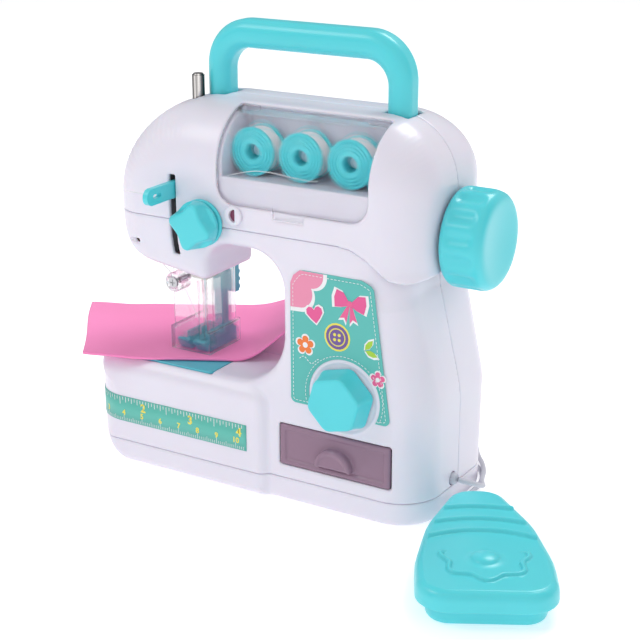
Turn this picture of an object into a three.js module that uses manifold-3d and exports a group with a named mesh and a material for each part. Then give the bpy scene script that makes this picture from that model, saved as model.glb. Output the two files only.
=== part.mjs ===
// A child's electric sewing machine with its foot pedal, practice cloth and thread bobbins.
// Millimetres, +Z up, +X towards the handwheel, -Y towards the user.
// The origin lies on the underside of the base, at the middle of the machine.
import * as THREE from 'three';
import Module from 'manifold-3d';
import { mergeVertices } from 'three/addons/utils/BufferGeometryUtils.js';

const wasm = await Module();
wasm.setup();

// ---------------------------------------------------------------- driving dimensions

const WALL = 2;
const GAP = 0.3;
const SEAM = 0.15;

const BODY = {
  left: -69, right: 79.3, waist: 72.6, baseRight: 83.3,
  front: -35, back: 35, top: 165.5,
  headBottom: 91, throatLeft: -19.3, throatRight: 17.9, throatTop: 108.5,
  capBottom: 105, seamHeight: 116.2,
};
const BED = { left: -83.2, right: 11.5, front: -38, top: 50 };
const TRAY_TOP = 10.3;

const SHAFT = { y: 0, z: 117.6, radius: 2 };
const LOWER_SHAFT_Z = 28;
const NEEDLE = { x: -39, y: -9, barRadius: 2.7, barTop: 173.6, barBottom: 91.6 };
const STROKE = 24;
const CRANK_RADIUS = STROKE / 2;
const YOKE_Z = SHAFT.z + CRANK_RADIUS;

const WHEEL = { inner: 80.4, outer: 99, radius: 20.5, flutes: 14 };
const GEAR = { x0: 58, x1: 62.5, teeth: 36, module: 1 };
const PINION_TEETH = 9;
const MOTOR_Z = SHAFT.z - (GEAR.teeth + PINION_TEETH) * GEAR.module / 2 - 0.25;
const PULLEY = { x0: 63.4, x1: 67.6, radius: 7 };

const LID = { left: -13.2, right: 57.5, bottom: 126.2, hingeY: -15.6, hingeZ: 163.1, thickness: 1.5 };
const TRAY_FLOOR = 136.8;
const BOBBIN = { firstX: -1.5, pitch: 22.75, z: 147.2, radius: 10.1, front: -25.4, back: -15 };

const HANDLE = { left: -37.5, right: 59.3, top: 197, leg: 10.5, bar: 12, depth: 14, foot: 159 };
const DRAWER = { left: 16.3, right: 69.3, bottom: 16.4, top: 35.3, back: -10 };
const DIAL = { x: 47.85, z: 52.75, radius: 14.6, faceY: -45 };
const TENSION = { x: -20, z: 117.3, radius: 10 };
const SLOT = { x: -35.5, width: 3.3, bottom: 101, top: 135.5 };
const PLATE = { left: -63, right: -19, front: -33, back: 16, top: 50.2, thickness: 1 };
const GUARD = { left: -49, right: -28, front: -21, back: 3.4, bottom: 52.2, top: 63, wall: 1.2 };
const PRESSER = { x: -35.8, y: -0.8, width: 4.4, depth: 4.4, top: 95 };
const LIFTER = { x: -35, y: 8.4, z: 95.6, width: 4 };
const BOSS = { x: -41, z: 86, front: -29 };
const FEED_RAILS = [NEEDLE.x - 4.6, NEEDLE.x + 3.4];

const BATTERY = { left: 19.5, right: 66.5, front: -28, back: 28, radius: 7, length: 50 };
const DOOR_SCREW = { x: 70.8, y: 0 };
const CASE_SCREWS = [[-55, 24], [30, 128]];
const CORD_EXIT = { x: BODY.baseRight, y: -5, z: 13.6 };

const PEDAL = { x: 118.1, y: -50.5, turn: 28.4 * Math.PI / 180, half: 44.2, top: 15.6 };
// The cloth's front edge passes (x, y) under the foot; left and right are measured from there.
const CLOTH = { left: -58, right: 42, width: 74, thickness: 1.2, bottom: 50.6, x: -28.2, y: -23.4, turn: 0.494 };
const CORD = { radius: 1.1, sides: 8 };

const COLOURS = {
  shell: 0xdedae8, turquoise: 0x5fd2dc, clear: 0xdde6ee, teal: 0x4fb6b6, metal: 0xb8b8bc,
  dark: 0x4a4550, smoky: 0x9b8296, pink: 0xf08cc4, white: 0xf3f1f5, cord: 0xd0d0d8, brass: 0xb79a5a,
};

// ---------------------------------------------------------------- solids and booleans

function solid(geometry) {
  const bare = geometry.index ? geometry.toNonIndexed() : geometry.clone();
  bare.deleteAttribute('normal');
  bare.deleteAttribute('uv');
  const merged = mergeVertices(bare, 1e-4);
  return new wasm.Manifold(new wasm.Mesh({
    numProp: 3,
    vertProperties: new Float32Array(merged.attributes.position.array),
    triVerts: new Uint32Array(merged.index.array),
  }));
}

function joined(first, ...others) {
  return others.reduce((sum, other) => sum.add(other), first);
}

function cut(first, ...others) {
  return others.reduce((rest, other) => rest.subtract(other), first);
}

function box(x0, x1, y0, y1, z0, z1) {
  const geometry = new THREE.BoxGeometry(x1 - x0, y1 - y0, z1 - z0);
  geometry.translate((x0 + x1) / 2, (y0 + y1) / 2, (z0 + z1) / 2);
  return solid(geometry);
}

// Rotations that lay a shape drawn flat in XY, and drawn out along Z, into the machine's axes.
const LAY = {
  x: new THREE.Matrix4().makeBasis(
    new THREE.Vector3(0, 1, 0), new THREE.Vector3(0, 0, 1), new THREE.Vector3(1, 0, 0)),
  y: new THREE.Matrix4().makeBasis(
    new THREE.Vector3(1, 0, 0), new THREE.Vector3(0, 0, 1), new THREE.Vector3(0, -1, 0)),
  z: new THREE.Matrix4(),
};

// Draws an outline out along an axis, from the first position to the second.
function drawn(outline, axis, from, to, holes = []) {
  const shape = new THREE.Shape(outline);
  shape.holes = holes.map((hole) => new THREE.Path(hole));
  const geometry = new THREE.ExtrudeGeometry(shape, { depth: to - from, bevelEnabled: false });
  geometry.applyMatrix4(LAY[axis]);
  const start = { x: [from, 0, 0], y: [0, to, 0], z: [0, 0, from] }[axis];
  geometry.translate(...start);
  return solid(geometry);
}

function circle(u, v, radius, steps = 20) {
  return Array.from({ length: steps }, (_, i) => {
    const angle = 2 * Math.PI * (i + 0.5) / steps;
    return new THREE.Vector2(u + radius * Math.cos(angle), v + radius * Math.sin(angle));
  });
}

function rod(axis, u, v, radius, from, to, steps = 16) {
  return drawn(circle(u, v, radius, steps), axis, from, to);
}

function ring(axis, u, v, outer, inner, from, to, steps = 20) {
  return drawn(circle(u, v, outer, steps), axis, from, to, [circle(u, v, inner, steps)]);
}

function frame2(u0, u1, v0, v1) {
  return [[u0, v0], [u1, v0], [u1, v1], [u0, v1]].map(([u, v]) => new THREE.Vector2(u, v));
}

// Corners are [u, v, radius]; each is rounded by an arc of that radius.
function rounded(corners, stepAngle = Math.PI / 12) {
  const points = [];
  corners.forEach(([u, v, radius], i) => {
    const corner = new THREE.Vector2(u, v);
    if (radius === 0) {
      points.push(corner);
      return;
    }
    const before = new THREE.Vector2(...corners[(i + corners.length - 1) % corners.length]);
    const after = new THREE.Vector2(...corners[(i + 1) % corners.length]);
    const back = before.sub(corner).normalize();
    const ahead = after.sub(corner).normalize();
    const half = Math.acos(back.dot(ahead)) / 2;
    const centre = back.clone().add(ahead).normalize().multiplyScalar(radius / Math.sin(half)).add(corner);
    const start = back.clone().multiplyScalar(radius / Math.tan(half)).add(corner).sub(centre);
    const end = ahead.clone().multiplyScalar(radius / Math.tan(half)).add(corner).sub(centre);
    const sweep = Math.atan2(start.cross(end), start.dot(end));
    const steps = Math.max(1, Math.ceil(Math.abs(sweep) / stepAngle));
    for (let k = 0; k <= steps; k += 1) {
      points.push(start.clone().rotateAround(new THREE.Vector2(), sweep * k / steps).add(centre));
    }
  });
  return points;
}

// Moves a counter-clockwise outline inwards by a distance.
function inset(points, distance) {
  return points.map((point, i) => {
    const before = points[(i + points.length - 1) % points.length];
    const after = points[(i + 1) % points.length];
    const first = point.clone().sub(before).normalize();
    const second = after.clone().sub(point).normalize();
    const normal = new THREE.Vector2(-first.y - second.y, first.x + second.x).normalize();
    const spread = normal.dot(new THREE.Vector2(-first.y, first.x));
    return point.clone().add(normal.multiplyScalar(distance / spread));
  });
}

// ---------------------------------------------------------------- the scene graph

const machine = new THREE.Group();

function place(name, body, colour, { roughness = 0.35, metalness = 0 } = {}) {
  let geometry = body;
  if (!body.isBufferGeometry) {
    const mesh = body.getMesh();
    geometry = new THREE.BufferGeometry();
    geometry.setAttribute('position', new THREE.BufferAttribute(new Float32Array(mesh.vertProperties), 3));
    geometry.setIndex(new THREE.BufferAttribute(new Uint32Array(mesh.triVerts), 1));
    geometry.computeVertexNormals();
  }
  const material = new THREE.MeshStandardMaterial({ color: COLOURS[colour], roughness, metalness });
  const node = new THREE.Mesh(geometry, material);
  node.name = name;
  machine.add(node);
  return node;
}

// ---------------------------------------------------------------- the casing

// The C-shaped trunk: column, arm and head, seen from the front.
const TRUNK_FRONT = rounded([
  [0, 0, 0],
  [BODY.baseRight, 0, 3],
  [BODY.baseRight, 50, 40],
  [BODY.waist, 96, 8],
  [BODY.waist, BODY.capBottom - 0.4, 0],
  [BODY.right, BODY.capBottom, 0],
  [BODY.right, BODY.top, 28],
  [BODY.left, BODY.top, 42],
  [BODY.left, BODY.headBottom + 3, 16],
  [BODY.throatLeft, BODY.headBottom, 0],
  [BODY.throatLeft, BODY.throatTop, 9],
  [BODY.throatRight, BODY.throatTop, 16],
  [BODY.throatRight, BED.top, 15.5],
  [0, BED.top, 0],
]);
const TRUNK_SIDE = rounded([
  [BODY.front, 0, 3], [BODY.back, 0, 3], [BODY.back, BODY.top, 26], [BODY.front, BODY.top, 26],
]);
const TRUNK_PLAN = rounded([
  [BODY.left, BODY.front, 15], [BODY.baseRight, BODY.front, 19],
  [BODY.baseRight, BODY.back, 19], [BODY.left, BODY.back, 15],
]);
const CAP_PLAN = rounded([
  [BODY.left - 20, BODY.front, 0], [BODY.right, BODY.front, 23],
  [BODY.right, BODY.back, 23], [BODY.left - 20, BODY.back, 0],
]);
const BED_FRONT = rounded([
  [BED.left, 0, 20], [BED.right, 0, 3], [BED.right, BED.top, 7], [BED.left, BED.top, 10],
]);
const BED_SIDE = rounded([
  [BED.front, 0, 3], [BODY.back, 0, 3], [BODY.back, BED.top, 7], [BED.front, BED.top, 7],
]);
const BED_PLAN = rounded([
  [BED.left, BED.front, 18], [BED.right, BED.front, 6], [BED.right, BODY.back, 0], [BED.left, BODY.back, 18],
]);

const REACH = 300;

function across(outline, axis, depth) {
  return drawn(inset(outline, depth), axis, -REACH, REACH);
}

// The whole casing as one filled solid, its surface moved inwards by a depth.
function casing(depth) {
  const belowCap = box(-REACH, REACH, -REACH, REACH, -REACH, BODY.capBottom - 0.2 + depth);
  const capWidth = across(CAP_PLAN, 'z', depth).add(belowCap);
  const trunk = across(TRUNK_FRONT, 'y', depth)
    .intersect(across(TRUNK_SIDE, 'x', depth))
    .intersect(across(TRUNK_PLAN, 'z', depth))
    .intersect(capWidth);
  const bed = across(BED_FRONT, 'y', depth)
    .intersect(across(BED_SIDE, 'x', depth))
    .intersect(across(BED_PLAN, 'z', depth));
  return trunk.add(bed);
}

const OUTSIDE = casing(0);
const INSIDE = casing(WALL);
const SKIN = OUTSIDE.subtract(INSIDE);

// Everything of the front that is under the seam of the arm cover, seen from the front.
const UNDER_SEAM = frame2(-REACH, REACH, -REACH, BODY.capBottom - 0.3).slice(0, 3).concat([
  new THREE.Vector2(66, BODY.capBottom - 0.3),
  new THREE.Vector2(56, BODY.seamHeight),
  new THREE.Vector2(-REACH, BODY.seamHeight),
]);

function handleSockets() {
  const clear = (x0, x1) => box(x0 - GAP, x1 + GAP, -HANDLE.depth / 2 - GAP, HANDLE.depth / 2 + GAP, 155, 170);
  return joined(
    clear(HANDLE.left, HANDLE.left + HANDLE.leg),
    clear(HANDLE.right - HANDLE.leg, HANDLE.right),
  );
}

function shaftHole() {
  return rod('x', SHAFT.y, SHAFT.z, 3.4, 60, 90);
}

function presserHole() {
  const { x, y, width, depth } = PRESSER;
  return box(x - width / 2 - 0.9, x + width / 2 + 0.9, y - depth / 2 - 0.6, y + depth / 2 + 0.6, 85, 100);
}

function needleSlotInBed() {
  return joined(
    box(NEEDLE.x - 6.5, NEEDLE.x + 6.5, NEEDLE.y - 7, NEEDLE.y + 7, 40, 60),
    box(PLATE.left - GAP, PLATE.right + GAP, PLATE.front - GAP, PLATE.back + GAP, 48.9, 60),
  );
}

function needleBarHoles() {
  return rod('z', NEEDLE.x, NEEDLE.y, NEEDLE.barRadius + 0.5, 80, 180);
}

function armCover() {
  const above = cut(box(-REACH, REACH, -REACH, -SEAM, 60, REACH),
    drawn(UNDER_SEAM.map((p) => p.clone().setY(p.y + SEAM)), 'y', -REACH, REACH));
  const lidOpening = joined(
    box(LID.left, LID.right, -40, -13.6, LID.bottom, 175),
    box(14.3, 28.3, -40, -32.6, 123, 127),
  );
  return cut(SKIN.intersect(above), lidOpening, handleSockets(), needleBarHoles(), shaftHole(),
    box(SLOT.x - SLOT.width / 2, SLOT.x + SLOT.width / 2, -40, -30, SLOT.bottom, SLOT.top),
    rod('y', TENSION.x, TENSION.z, 2.4, -40, -30));
}

function frontShell() {
  const below = drawn(UNDER_SEAM.map((p) => p.clone().setY(p.y - SEAM)), 'y', -REACH, -SEAM)
    .intersect(box(-REACH, REACH, -REACH, -SEAM, TRAY_TOP + SEAM, REACH));
  const drawerOpening = box(DRAWER.left, DRAWER.right, -40, -30, DRAWER.bottom, DRAWER.top);
  return cut(SKIN.intersect(below), drawerOpening, needleBarHoles(), presserHole(), needleSlotInBed(),
    box(SLOT.x - SLOT.width / 2, SLOT.x + SLOT.width / 2, -40, -30, SLOT.bottom, SLOT.top),
    rod('y', TENSION.x, TENSION.z, 2.4, -40, -30),
    rod('y', DIAL.x, DIAL.z, 3.6, -40, -30), grommetHole());
}

function grommetHole() {
  return rod('x', CORD_EXIT.y, CORD_EXIT.z, 2.9, 70, 90);
}

function rearShell() {
  const behind = box(-REACH, REACH, SEAM, REACH, TRAY_TOP + SEAM, REACH);
  const lifterSlot = box(LIFTER.x - 2.6, LIFTER.x + 2.6, 2, 31.5, 86, 99);
  const screwHoles = CASE_SCREWS.map(([x, z]) => rod('y', x, z, 3.3, 30, 40, 14));
  return cut(SKIN.intersect(behind), handleSockets(), presserHole(), lifterSlot, shaftHole(),
    needleSlotInBed(), ...screwHoles);
}

function baseTray() {
  const slab = box(-REACH, REACH, -REACH, REACH, -1, TRAY_TOP - SEAM);
  const doorway = box(BATTERY.left, BATTERY.right, BATTERY.front, BATTERY.back, -1, 5);
  const tongue = box(66, 75, -5, 5, -1, 5);
  return cut(SKIN.intersect(slab), doorway, tongue);
}

function batteryDoor() {
  const { left, right, front, back } = BATTERY;
  const panel = box(left + GAP, right - GAP, front + GAP, back - GAP, 0, 1.8);
  const tongue = box(66, 75 - GAP, -5 + GAP, 5 - GAP, 0, 1.8);
  return cut(joined(panel, tongue), rod('z', DOOR_SCREW.x, DOOR_SCREW.y, 1.9, -1, 5, 12));
}

// A cross-head screw: a domed head with a cross cut in it, on a plain shank.
function screw(axis, u, v, headFrom, headTo, shankTo, headRadius, shankRadius) {
  const low = Math.min(headFrom, headTo);
  const high = Math.max(headFrom, headTo);
  const head = rod(axis, u, v, headRadius, low, high, 14);
  const middle = (headFrom + headTo) / 2;
  const shank = rod(axis, u, v, shankRadius, Math.min(middle, shankTo), Math.max(middle, shankTo), 10);
  const face = headFrom < headTo ? [headFrom - 1, headFrom + 0.5] : [headFrom - 0.5, headFrom + 1];
  const bar = (du, dv) => drawn(frame2(u - du, u + du, v - dv, v + dv), axis, ...face);
  return cut(joined(head, shank), bar(headRadius * 0.6, 0.25), bar(0.25, headRadius * 0.6));
}

place('base_tray', baseTray(), 'shell');
place('battery_door', batteryDoor(), 'shell');
place('battery_door_screw', screw('z', DOOR_SCREW.x, DOOR_SCREW.y, 0.3, 1.6, 6, 1.6, 0.9), 'metal',
  { metalness: 1 });
place('front_shell', frontShell(), 'shell', { roughness: 0.25 });
place('arm_cover', armCover(), 'shell', { roughness: 0.25 });
place('rear_shell', rearShell(), 'shell', { roughness: 0.25 });
CASE_SCREWS.forEach(([x, z], i) => {
  place(`case_screw_${i + 1}`, screw('y', x, z, 34.4, 33, 20, 2.9, 1.3), 'metal', { metalness: 1 });
});

for (let i = 0; i < 3; i += 1) {
  const x = 28 + 15 * i;
  const z = 2.5 + BATTERY.radius;
  const cell = joined(
    rod('y', x, z, BATTERY.radius, -BATTERY.length / 2, BATTERY.length / 2 - 1.5, 16),
    rod('y', x, z, 2.6, BATTERY.length / 2 - 1.6, BATTERY.length / 2, 10),
  );
  place(`battery_cell_${i + 1}`, cell, 'brass', { metalness: 0.6 });
}

// ---------------------------------------------------------------- the carrying handle

function carryHandle() {
  const { left, right, top, leg, bar, depth, foot } = HANDLE;
  const arch = rounded([
    [left, foot, 0], [left + leg, foot, 0], [left + leg, top - bar, 9], [right - leg, top - bar, 9],
    [right - leg, foot, 0], [right, foot, 0], [right, top, 20], [left, top, 20],
  ]);
  return joined(
    drawn(inset(arch, 2), 'y', -depth / 2, depth / 2),
    drawn(arch, 'y', -depth / 2 + 2.4, depth / 2 - 2.4),
  );
}

place('carry_handle', carryHandle(), 'turquoise', { roughness: 0.3 });

// ---------------------------------------------------------------- the spool compartment

function spoolTray() {
  const left = LID.left + GAP;
  const right = LID.right - GAP;
  const front = BODY.front + WALL + 0.4;
  const floor = box(left, right, front, -9, TRAY_FLOOR - 1.6, TRAY_FLOOR);
  const lip = box(left, right, front, front + 1.6, LID.bottom + GAP, TRAY_FLOOR + 0.6);
  const back = box(left, right, -11, -9, TRAY_FLOOR - 1.6, 163);
  const sides = joined(
    box(left, left + 0.8, front, -9, TRAY_FLOOR - 1.6, 163),
    box(right - 0.8, right, front, -9, TRAY_FLOOR - 1.6, 163),
  );
  const pegs = bobbinCentres().map((x) => rod('y', x, BOBBIN.z, 2.6, -24, -10.5, 12));
  const hingeRoom = rod('x', LID.hingeY, LID.hingeZ, 2.4, left - 1, right + 1, 12);
  const walls = joined(floor, lip, back, sides).intersect(casing(WALL + 0.4));
  return cut(joined(walls, ...pegs), hingeRoom);
}

function bobbinCentres() {
  return [0, 1, 2].map((i) => BOBBIN.firstX + BOBBIN.pitch * i);
}

function spoolLid() {
  const skin = OUTSIDE.subtract(casing(LID.thickness));
  const panel = skin.intersect(box(LID.left + GAP, LID.right - GAP, -40, LID.hingeY, LID.bottom + GAP, 175));
  const tab = box(14.6, 28, -36.4, BODY.front + LID.thickness, 123.3, 127.2);
  const knuckle = (x0, x1) => rod('x', LID.hingeY, LID.hingeZ, 1.4, x0, x1, 12);
  const knuckles = joined(
    knuckle(LID.left + GAP, LID.left + 9),
    knuckle(LID.right - 9, LID.right - GAP),
  );
  return joined(panel, tab, knuckles);
}

function bobbin(x) {
  const { z, radius, front, back } = BOBBIN;
  const hub = joined(
    rod('y', x, z, 4.8, front, back, 24),
    rod('y', x, z, radius, front, front + 1.5, 28),
    rod('y', x, z, radius, back - 1.5, back, 28),
  );
  return cut(hub, rod('y', x, z, 3.2, front - 1, back + 1, 16));
}

function threadWinding(x) {
  const { z, front, back } = BOBBIN;
  return ring('y', x, z, 9.2, 5.1, front + 1.8, back - 1.8, 24);
}

place('spool_tray', spoolTray(), 'shell');
place('spool_lid', spoolLid(), 'clear', { roughness: 0.05 });
bobbinCentres().forEach((x, i) => {
  place(`bobbin_${i + 1}`, bobbin(x), 'turquoise', { roughness: 0.3 });
  place(`thread_winding_${i + 1}`, threadWinding(x), 'white', { roughness: 0.8 });
});

// ---------------------------------------------------------------- the bed: plate, feed, cloth

function needlePlate() {
  const { left, right, front, back, top, thickness } = PLATE;
  const outline = rounded([[left, front, 2], [right, front, 2], [right, back, 2], [left, back, 2]]);
  const plate = drawn(outline, 'z', top - thickness, top);
  return cut(plate, rod('z', NEEDLE.x, NEEDLE.y, 1.9, 40, 60, 14), ...feedSlots());
}

function feedSlots() {
  return FEED_RAILS.map((x) => box(x - 0.5, x + 1.7, -13.8, -3.8, 40, 60));
}

// Two toothed rails on a small frame, with their tips just under the top of the plate.
function feedDog() {
  const from = NEEDLE.y - 3;
  const to = from + 6.5;
  const rail = (x) => {
    const crests = [0, 1, 2, 3, 4].flatMap((i) => [
      new THREE.Vector2(from + 1.3 * i, PLATE.top - 0.9),
      new THREE.Vector2(from + 0.65 + 1.3 * i, PLATE.top - 0.2),
    ]);
    const outline = [new THREE.Vector2(from, 43), new THREE.Vector2(to, 43),
      new THREE.Vector2(to, PLATE.top - 0.9), ...crests.reverse()];
    return drawn(outline, 'x', x, x + 1.2);
  };
  const tie = box(FEED_RAILS[0], FEED_RAILS[1] + 1.2, from, to, 42, 44);
  const frame = cut(tie, rod('z', NEEDLE.x, NEEDLE.y, 2, 40, 60, 12));
  return joined(frame, ...FEED_RAILS.map(rail));
}

// Height of the cloth along its length: level under the foot, a little lift at the left end,
// and a steeper climb towards the column.
function clothHeight(s) {
  const left = 0.0026 * Math.max(0, -s - 22) ** 2;
  const climb = 0.027 * Math.min(14, Math.max(0, s - 13)) ** 2;
  return CLOTH.bottom + left + climb + 0.75 * Math.max(0, s - 27);
}

function practiceCloth() {
  const { left, right, width, thickness, turn } = CLOTH;
  const steps = 20;
  const along = Array.from({ length: steps + 1 }, (_, i) => left + (right - left) * i / steps);
  const low = along.map((s) => new THREE.Vector2(s, clothHeight(s)));
  const high = along.map((s) => new THREE.Vector2(s, clothHeight(s) + thickness)).reverse();
  const geometry = new THREE.ExtrudeGeometry(new THREE.Shape([...low, ...high]),
    { depth: width, bevelEnabled: false });
  geometry.applyMatrix4(LAY.y);
  geometry.computeBoundingBox();
  geometry.translate(0, -geometry.boundingBox.min.y, 0);
  geometry.rotateZ(turn);
  geometry.translate(CLOTH.x, CLOTH.y, 0);
  return cut(solid(geometry), rod('z', NEEDLE.x, NEEDLE.y, 1.4, 40, 70, 12));
}

place('needle_plate', needlePlate(), 'teal', { roughness: 0.3 });
place('feed_dog', feedDog(), 'metal', { metalness: 1 });
place('practice_cloth', practiceCloth(), 'pink', { roughness: 0.95 });

// ---------------------------------------------------------------- the upper drive

function handwheel() {
  const { inner, outer, radius, flutes } = WHEEL;
  const steps = flutes * 4;
  const rim = (size) => Array.from({ length: steps }, (_, i) => {
    const angle = 2 * Math.PI * i / steps;
    const r = size - 0.45 * (1 - Math.cos(flutes * angle));
    return new THREE.Vector2(SHAFT.y + r * Math.cos(angle), SHAFT.z + r * Math.sin(angle));
  });
  const drum = joined(
    drawn(rim(radius), 'x', inner, outer - 2.6),
    drawn(rim(radius - 1.2), 'x', outer - 2.7, outer - 1),
    drawn(rim(radius - 3), 'x', outer - 1.1, outer),
  );
  return cut(drum,
    ring('x', SHAFT.y, SHAFT.z, radius - 3, 5, inner - 1, inner + 9, 24),
    rod('x', SHAFT.y, SHAFT.z, SHAFT.radius + GAP, inner - 1, inner + 12));
}

// A spur gear's outline, with straight-sided teeth and generous backlash.
function gearOutline(teeth, v, phase) {
  const pitch = teeth * GEAR.module / 2;
  const corner = (turn, radius) => {
    const angle = 2 * Math.PI * turn / teeth + phase;
    return new THREE.Vector2(radius * Math.cos(angle), v + radius * Math.sin(angle));
  };
  return Array.from({ length: teeth }, (_, i) => [
    corner(i - 0.21, pitch - 1.1), corner(i - 0.12, pitch + 0.75),
    corner(i + 0.12, pitch + 0.75), corner(i + 0.21, pitch - 1.1),
  ]).flat();
}

function mainGear() {
  const wheel = drawn(gearOutline(GEAR.teeth, SHAFT.z, Math.PI / GEAR.teeth), 'x', GEAR.x0, GEAR.x1);
  const pulley = joined(
    rod('x', SHAFT.y, SHAFT.z, PULLEY.radius, GEAR.x1 - 0.1, PULLEY.x1 + 0.7, 20),
    rod('x', SHAFT.y, SHAFT.z, PULLEY.radius + 1, PULLEY.x1 + 0.2, PULLEY.x1 + 1.2, 20),
  );
  return cut(joined(wheel, pulley), rod('x', SHAFT.y, SHAFT.z, SHAFT.radius + GAP, 50, 75));
}

function crankDisc() {
  const disc = rod('x', SHAFT.y, SHAFT.z, 15, -31.5, -28.5, 28);
  const pin = rod('x', SHAFT.y, YOKE_Z, 1.5, -33.3, -31.4, 12);
  return cut(joined(disc, pin), rod('x', SHAFT.y, SHAFT.z, SHAFT.radius + GAP, -29.9, -20));
}

function motorPinion() {
  const outline = gearOutline(PINION_TEETH, MOTOR_Z, Math.PI / 2);
  return joined(
    drawn(outline, 'x', GEAR.x0, GEAR.x1),
    rod('x', 0, MOTOR_Z, 1, 52, GEAR.x0 + 0.1, 10),
  );
}

function motor() {
  const can = joined(
    rod('x', 0, MOTOR_Z, 10, 30, 55, 24).intersect(box(20, 60, -7.7, 7.7, 0, 200)),
    rod('x', 0, MOTOR_Z, 3.2, 55, 57, 14),
    rod('x', 0, MOTOR_Z, 3.2, 28, 30.1, 14),
  );
  return cut(can, rod('x', 0, MOTOR_Z, 1.4, 51, 60, 10));
}

place('main_shaft', rod('x', SHAFT.y, SHAFT.z, SHAFT.radius, -29.5, 91, 14), 'metal', { metalness: 1 });
place('crank_disc', crankDisc(), 'white');
place('main_gear', mainGear(), 'white');
place('shaft_bush_left', ring('x', SHAFT.y, SHAFT.z, 5, SHAFT.radius + GAP, -26, -21.8, 16), 'brass');
place('shaft_bush_right', ring('x', SHAFT.y, SHAFT.z, 5, SHAFT.radius + GAP, 71.5, 76.9, 16), 'brass');
place('handwheel', handwheel(), 'turquoise', { roughness: 0.3 });
place('motor', motor(), 'metal', { metalness: 1 });
place('motor_pinion', motorPinion(), 'brass', { metalness: 1 });

// ---------------------------------------------------------------- the lower drive

function lowerShaft() {
  const pulley = joined(
    rod('x', 0, LOWER_SHAFT_Z, PULLEY.radius, PULLEY.x0 - 0.6, PULLEY.x1 + 0.6, 20),
    rod('x', 0, LOWER_SHAFT_Z, PULLEY.radius + 1, PULLEY.x1 + 0.2, PULLEY.x1 + 1.2, 20),
  );
  return joined(pulley, rod('x', 0, LOWER_SHAFT_Z, 1.6, -36.5, 71, 12));
}

function driveBelt() {
  const loop = (radius) => {
    const turn = (centre, from) => Array.from({ length: 9 }, (_, i) => {
      const angle = from + Math.PI * i / 8;
      return new THREE.Vector2(radius * Math.cos(angle), centre + radius * Math.sin(angle));
    });
    return [...turn(SHAFT.z, 0), ...turn(LOWER_SHAFT_Z, Math.PI)];
  };
  return drawn(loop(PULLEY.radius + 1.4), 'x', PULLEY.x0, PULLEY.x1 - GAP, [loop(PULLEY.radius + GAP)]);
}

// A disc with a hooked rim that carries the thread round under the plate.
function looper() {
  const hub = ring('x', 0, LOWER_SHAFT_Z, 4, 1.6 + GAP, -37, -33.6, 16);
  const rim = cut(
    ring('x', 0, LOWER_SHAFT_Z, 9, 6.4, -36.4, -34, 24),
    drawn(frame2(-2, 12, LOWER_SHAFT_Z - 12, LOWER_SHAFT_Z - 1), 'x', -40, -30),
  );
  const web = box(-36.2, -34.2, -7.5, -3.2, LOWER_SHAFT_Z - 1.5, LOWER_SHAFT_Z + 1.5);
  return joined(hub, rim, web);
}

place('lower_shaft', lowerShaft(), 'metal', { metalness: 1 });
place('drive_belt', driveBelt(), 'dark', { roughness: 0.9 });
place('looper', looper(), 'metal', { metalness: 1 });

// ---------------------------------------------------------------- needle bar and take-up

function needleBar() {
  const { x, y, barRadius, barTop, barBottom } = NEEDLE;
  return cut(joined(
    rod('z', x, y, barRadius, barBottom, barTop - 0.6, 16),
    rod('z', x, y, barRadius - 0.5, barTop - 0.7, barTop, 16),
  ), rod('z', x, y, 1.1, barBottom - 1, barBottom + 6, 10));
}

// The yoke turns the crank pin's circle into the bar's straight stroke.
function needleYoke() {
  const hub = box(-43.6, -36, NEEDLE.y - 4.5, NEEDLE.y + 4.5, YOKE_Z - 4, YOKE_Z + 4);
  const plate = box(-36.1, -33.6, -16.2, 16.2, YOKE_Z - 4, YOKE_Z + 4);
  const slot = box(-37, -33, -14, 14, YOKE_Z - 1.9, YOKE_Z + 1.9);
  const bore = rod('z', NEEDLE.x, NEEDLE.y, NEEDLE.barRadius + GAP, 100, 150);
  return cut(joined(hub, plate), slot, bore);
}

function needleClamp() {
  const { x, y, barRadius } = NEEDLE;
  const block = joined(
    box(x - 4.2, x + 4.2, y - 4.2, y + 4.2, 84, 91.2),
    rod('x', y, 87.5, 2.2, x - 6.6, x - 4.1, 12),
  );
  return cut(block, rod('z', x, y, 1.1, 80, 95, 10), rod('z', x, y, barRadius + GAP, 91, 95));
}

function needle() {
  const { x, y } = NEEDLE;
  const profile = [[0, 54], [0.35, 56], [0.45, 76], [0.8, 77.5], [0.8, 95.5], [0, 95.5]];
  const geometry = new THREE.LatheGeometry(profile.map(([r, h]) => new THREE.Vector2(r, h)), 10);
  geometry.rotateX(Math.PI / 2);
  geometry.translate(x, y, 0);
  return solid(geometry);
}

function needleBarBracket() {
  const { x, y, barRadius } = NEEDLE;
  const spine = box(-50.5, -48, y - 5, y + 5, 96.5, 151);
  const arm = box(-50.5, -48, y, BODY.back - WALL - GAP, 104, 126);
  const guide = (z0, z1) => box(-48.1, -34.6, y - 5, y + 5, z0, z1);
  return cut(joined(spine, arm, guide(96.5, 99.6), guide(145, 151)),
    rod('z', x, y, barRadius + GAP, 80, 170));
}

function takeUpLever() {
  const mid = YOKE_Z - 0.4;
  const half = 3.5;
  const tip = -53.5;
  const outline = rounded([
    [tip, mid - half, 3.4], [-16.6, mid - half, 0], [-16.6, mid + half, 0], [tip, mid + half, 3.4],
  ]);
  const eye = rounded([
    [tip + 4, mid - 0.9, 0.85], [tip + 9.5, mid - 0.9, 0.85],
    [tip + 9.5, mid + 0.9, 0.85], [tip + 4, mid + 0.9, 0.85],
  ], Math.PI / 4);
  return cut(drawn(outline, 'x', SLOT.x - 1.2, SLOT.x + 1.2), drawn(eye, 'x', -50, -20));
}

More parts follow.
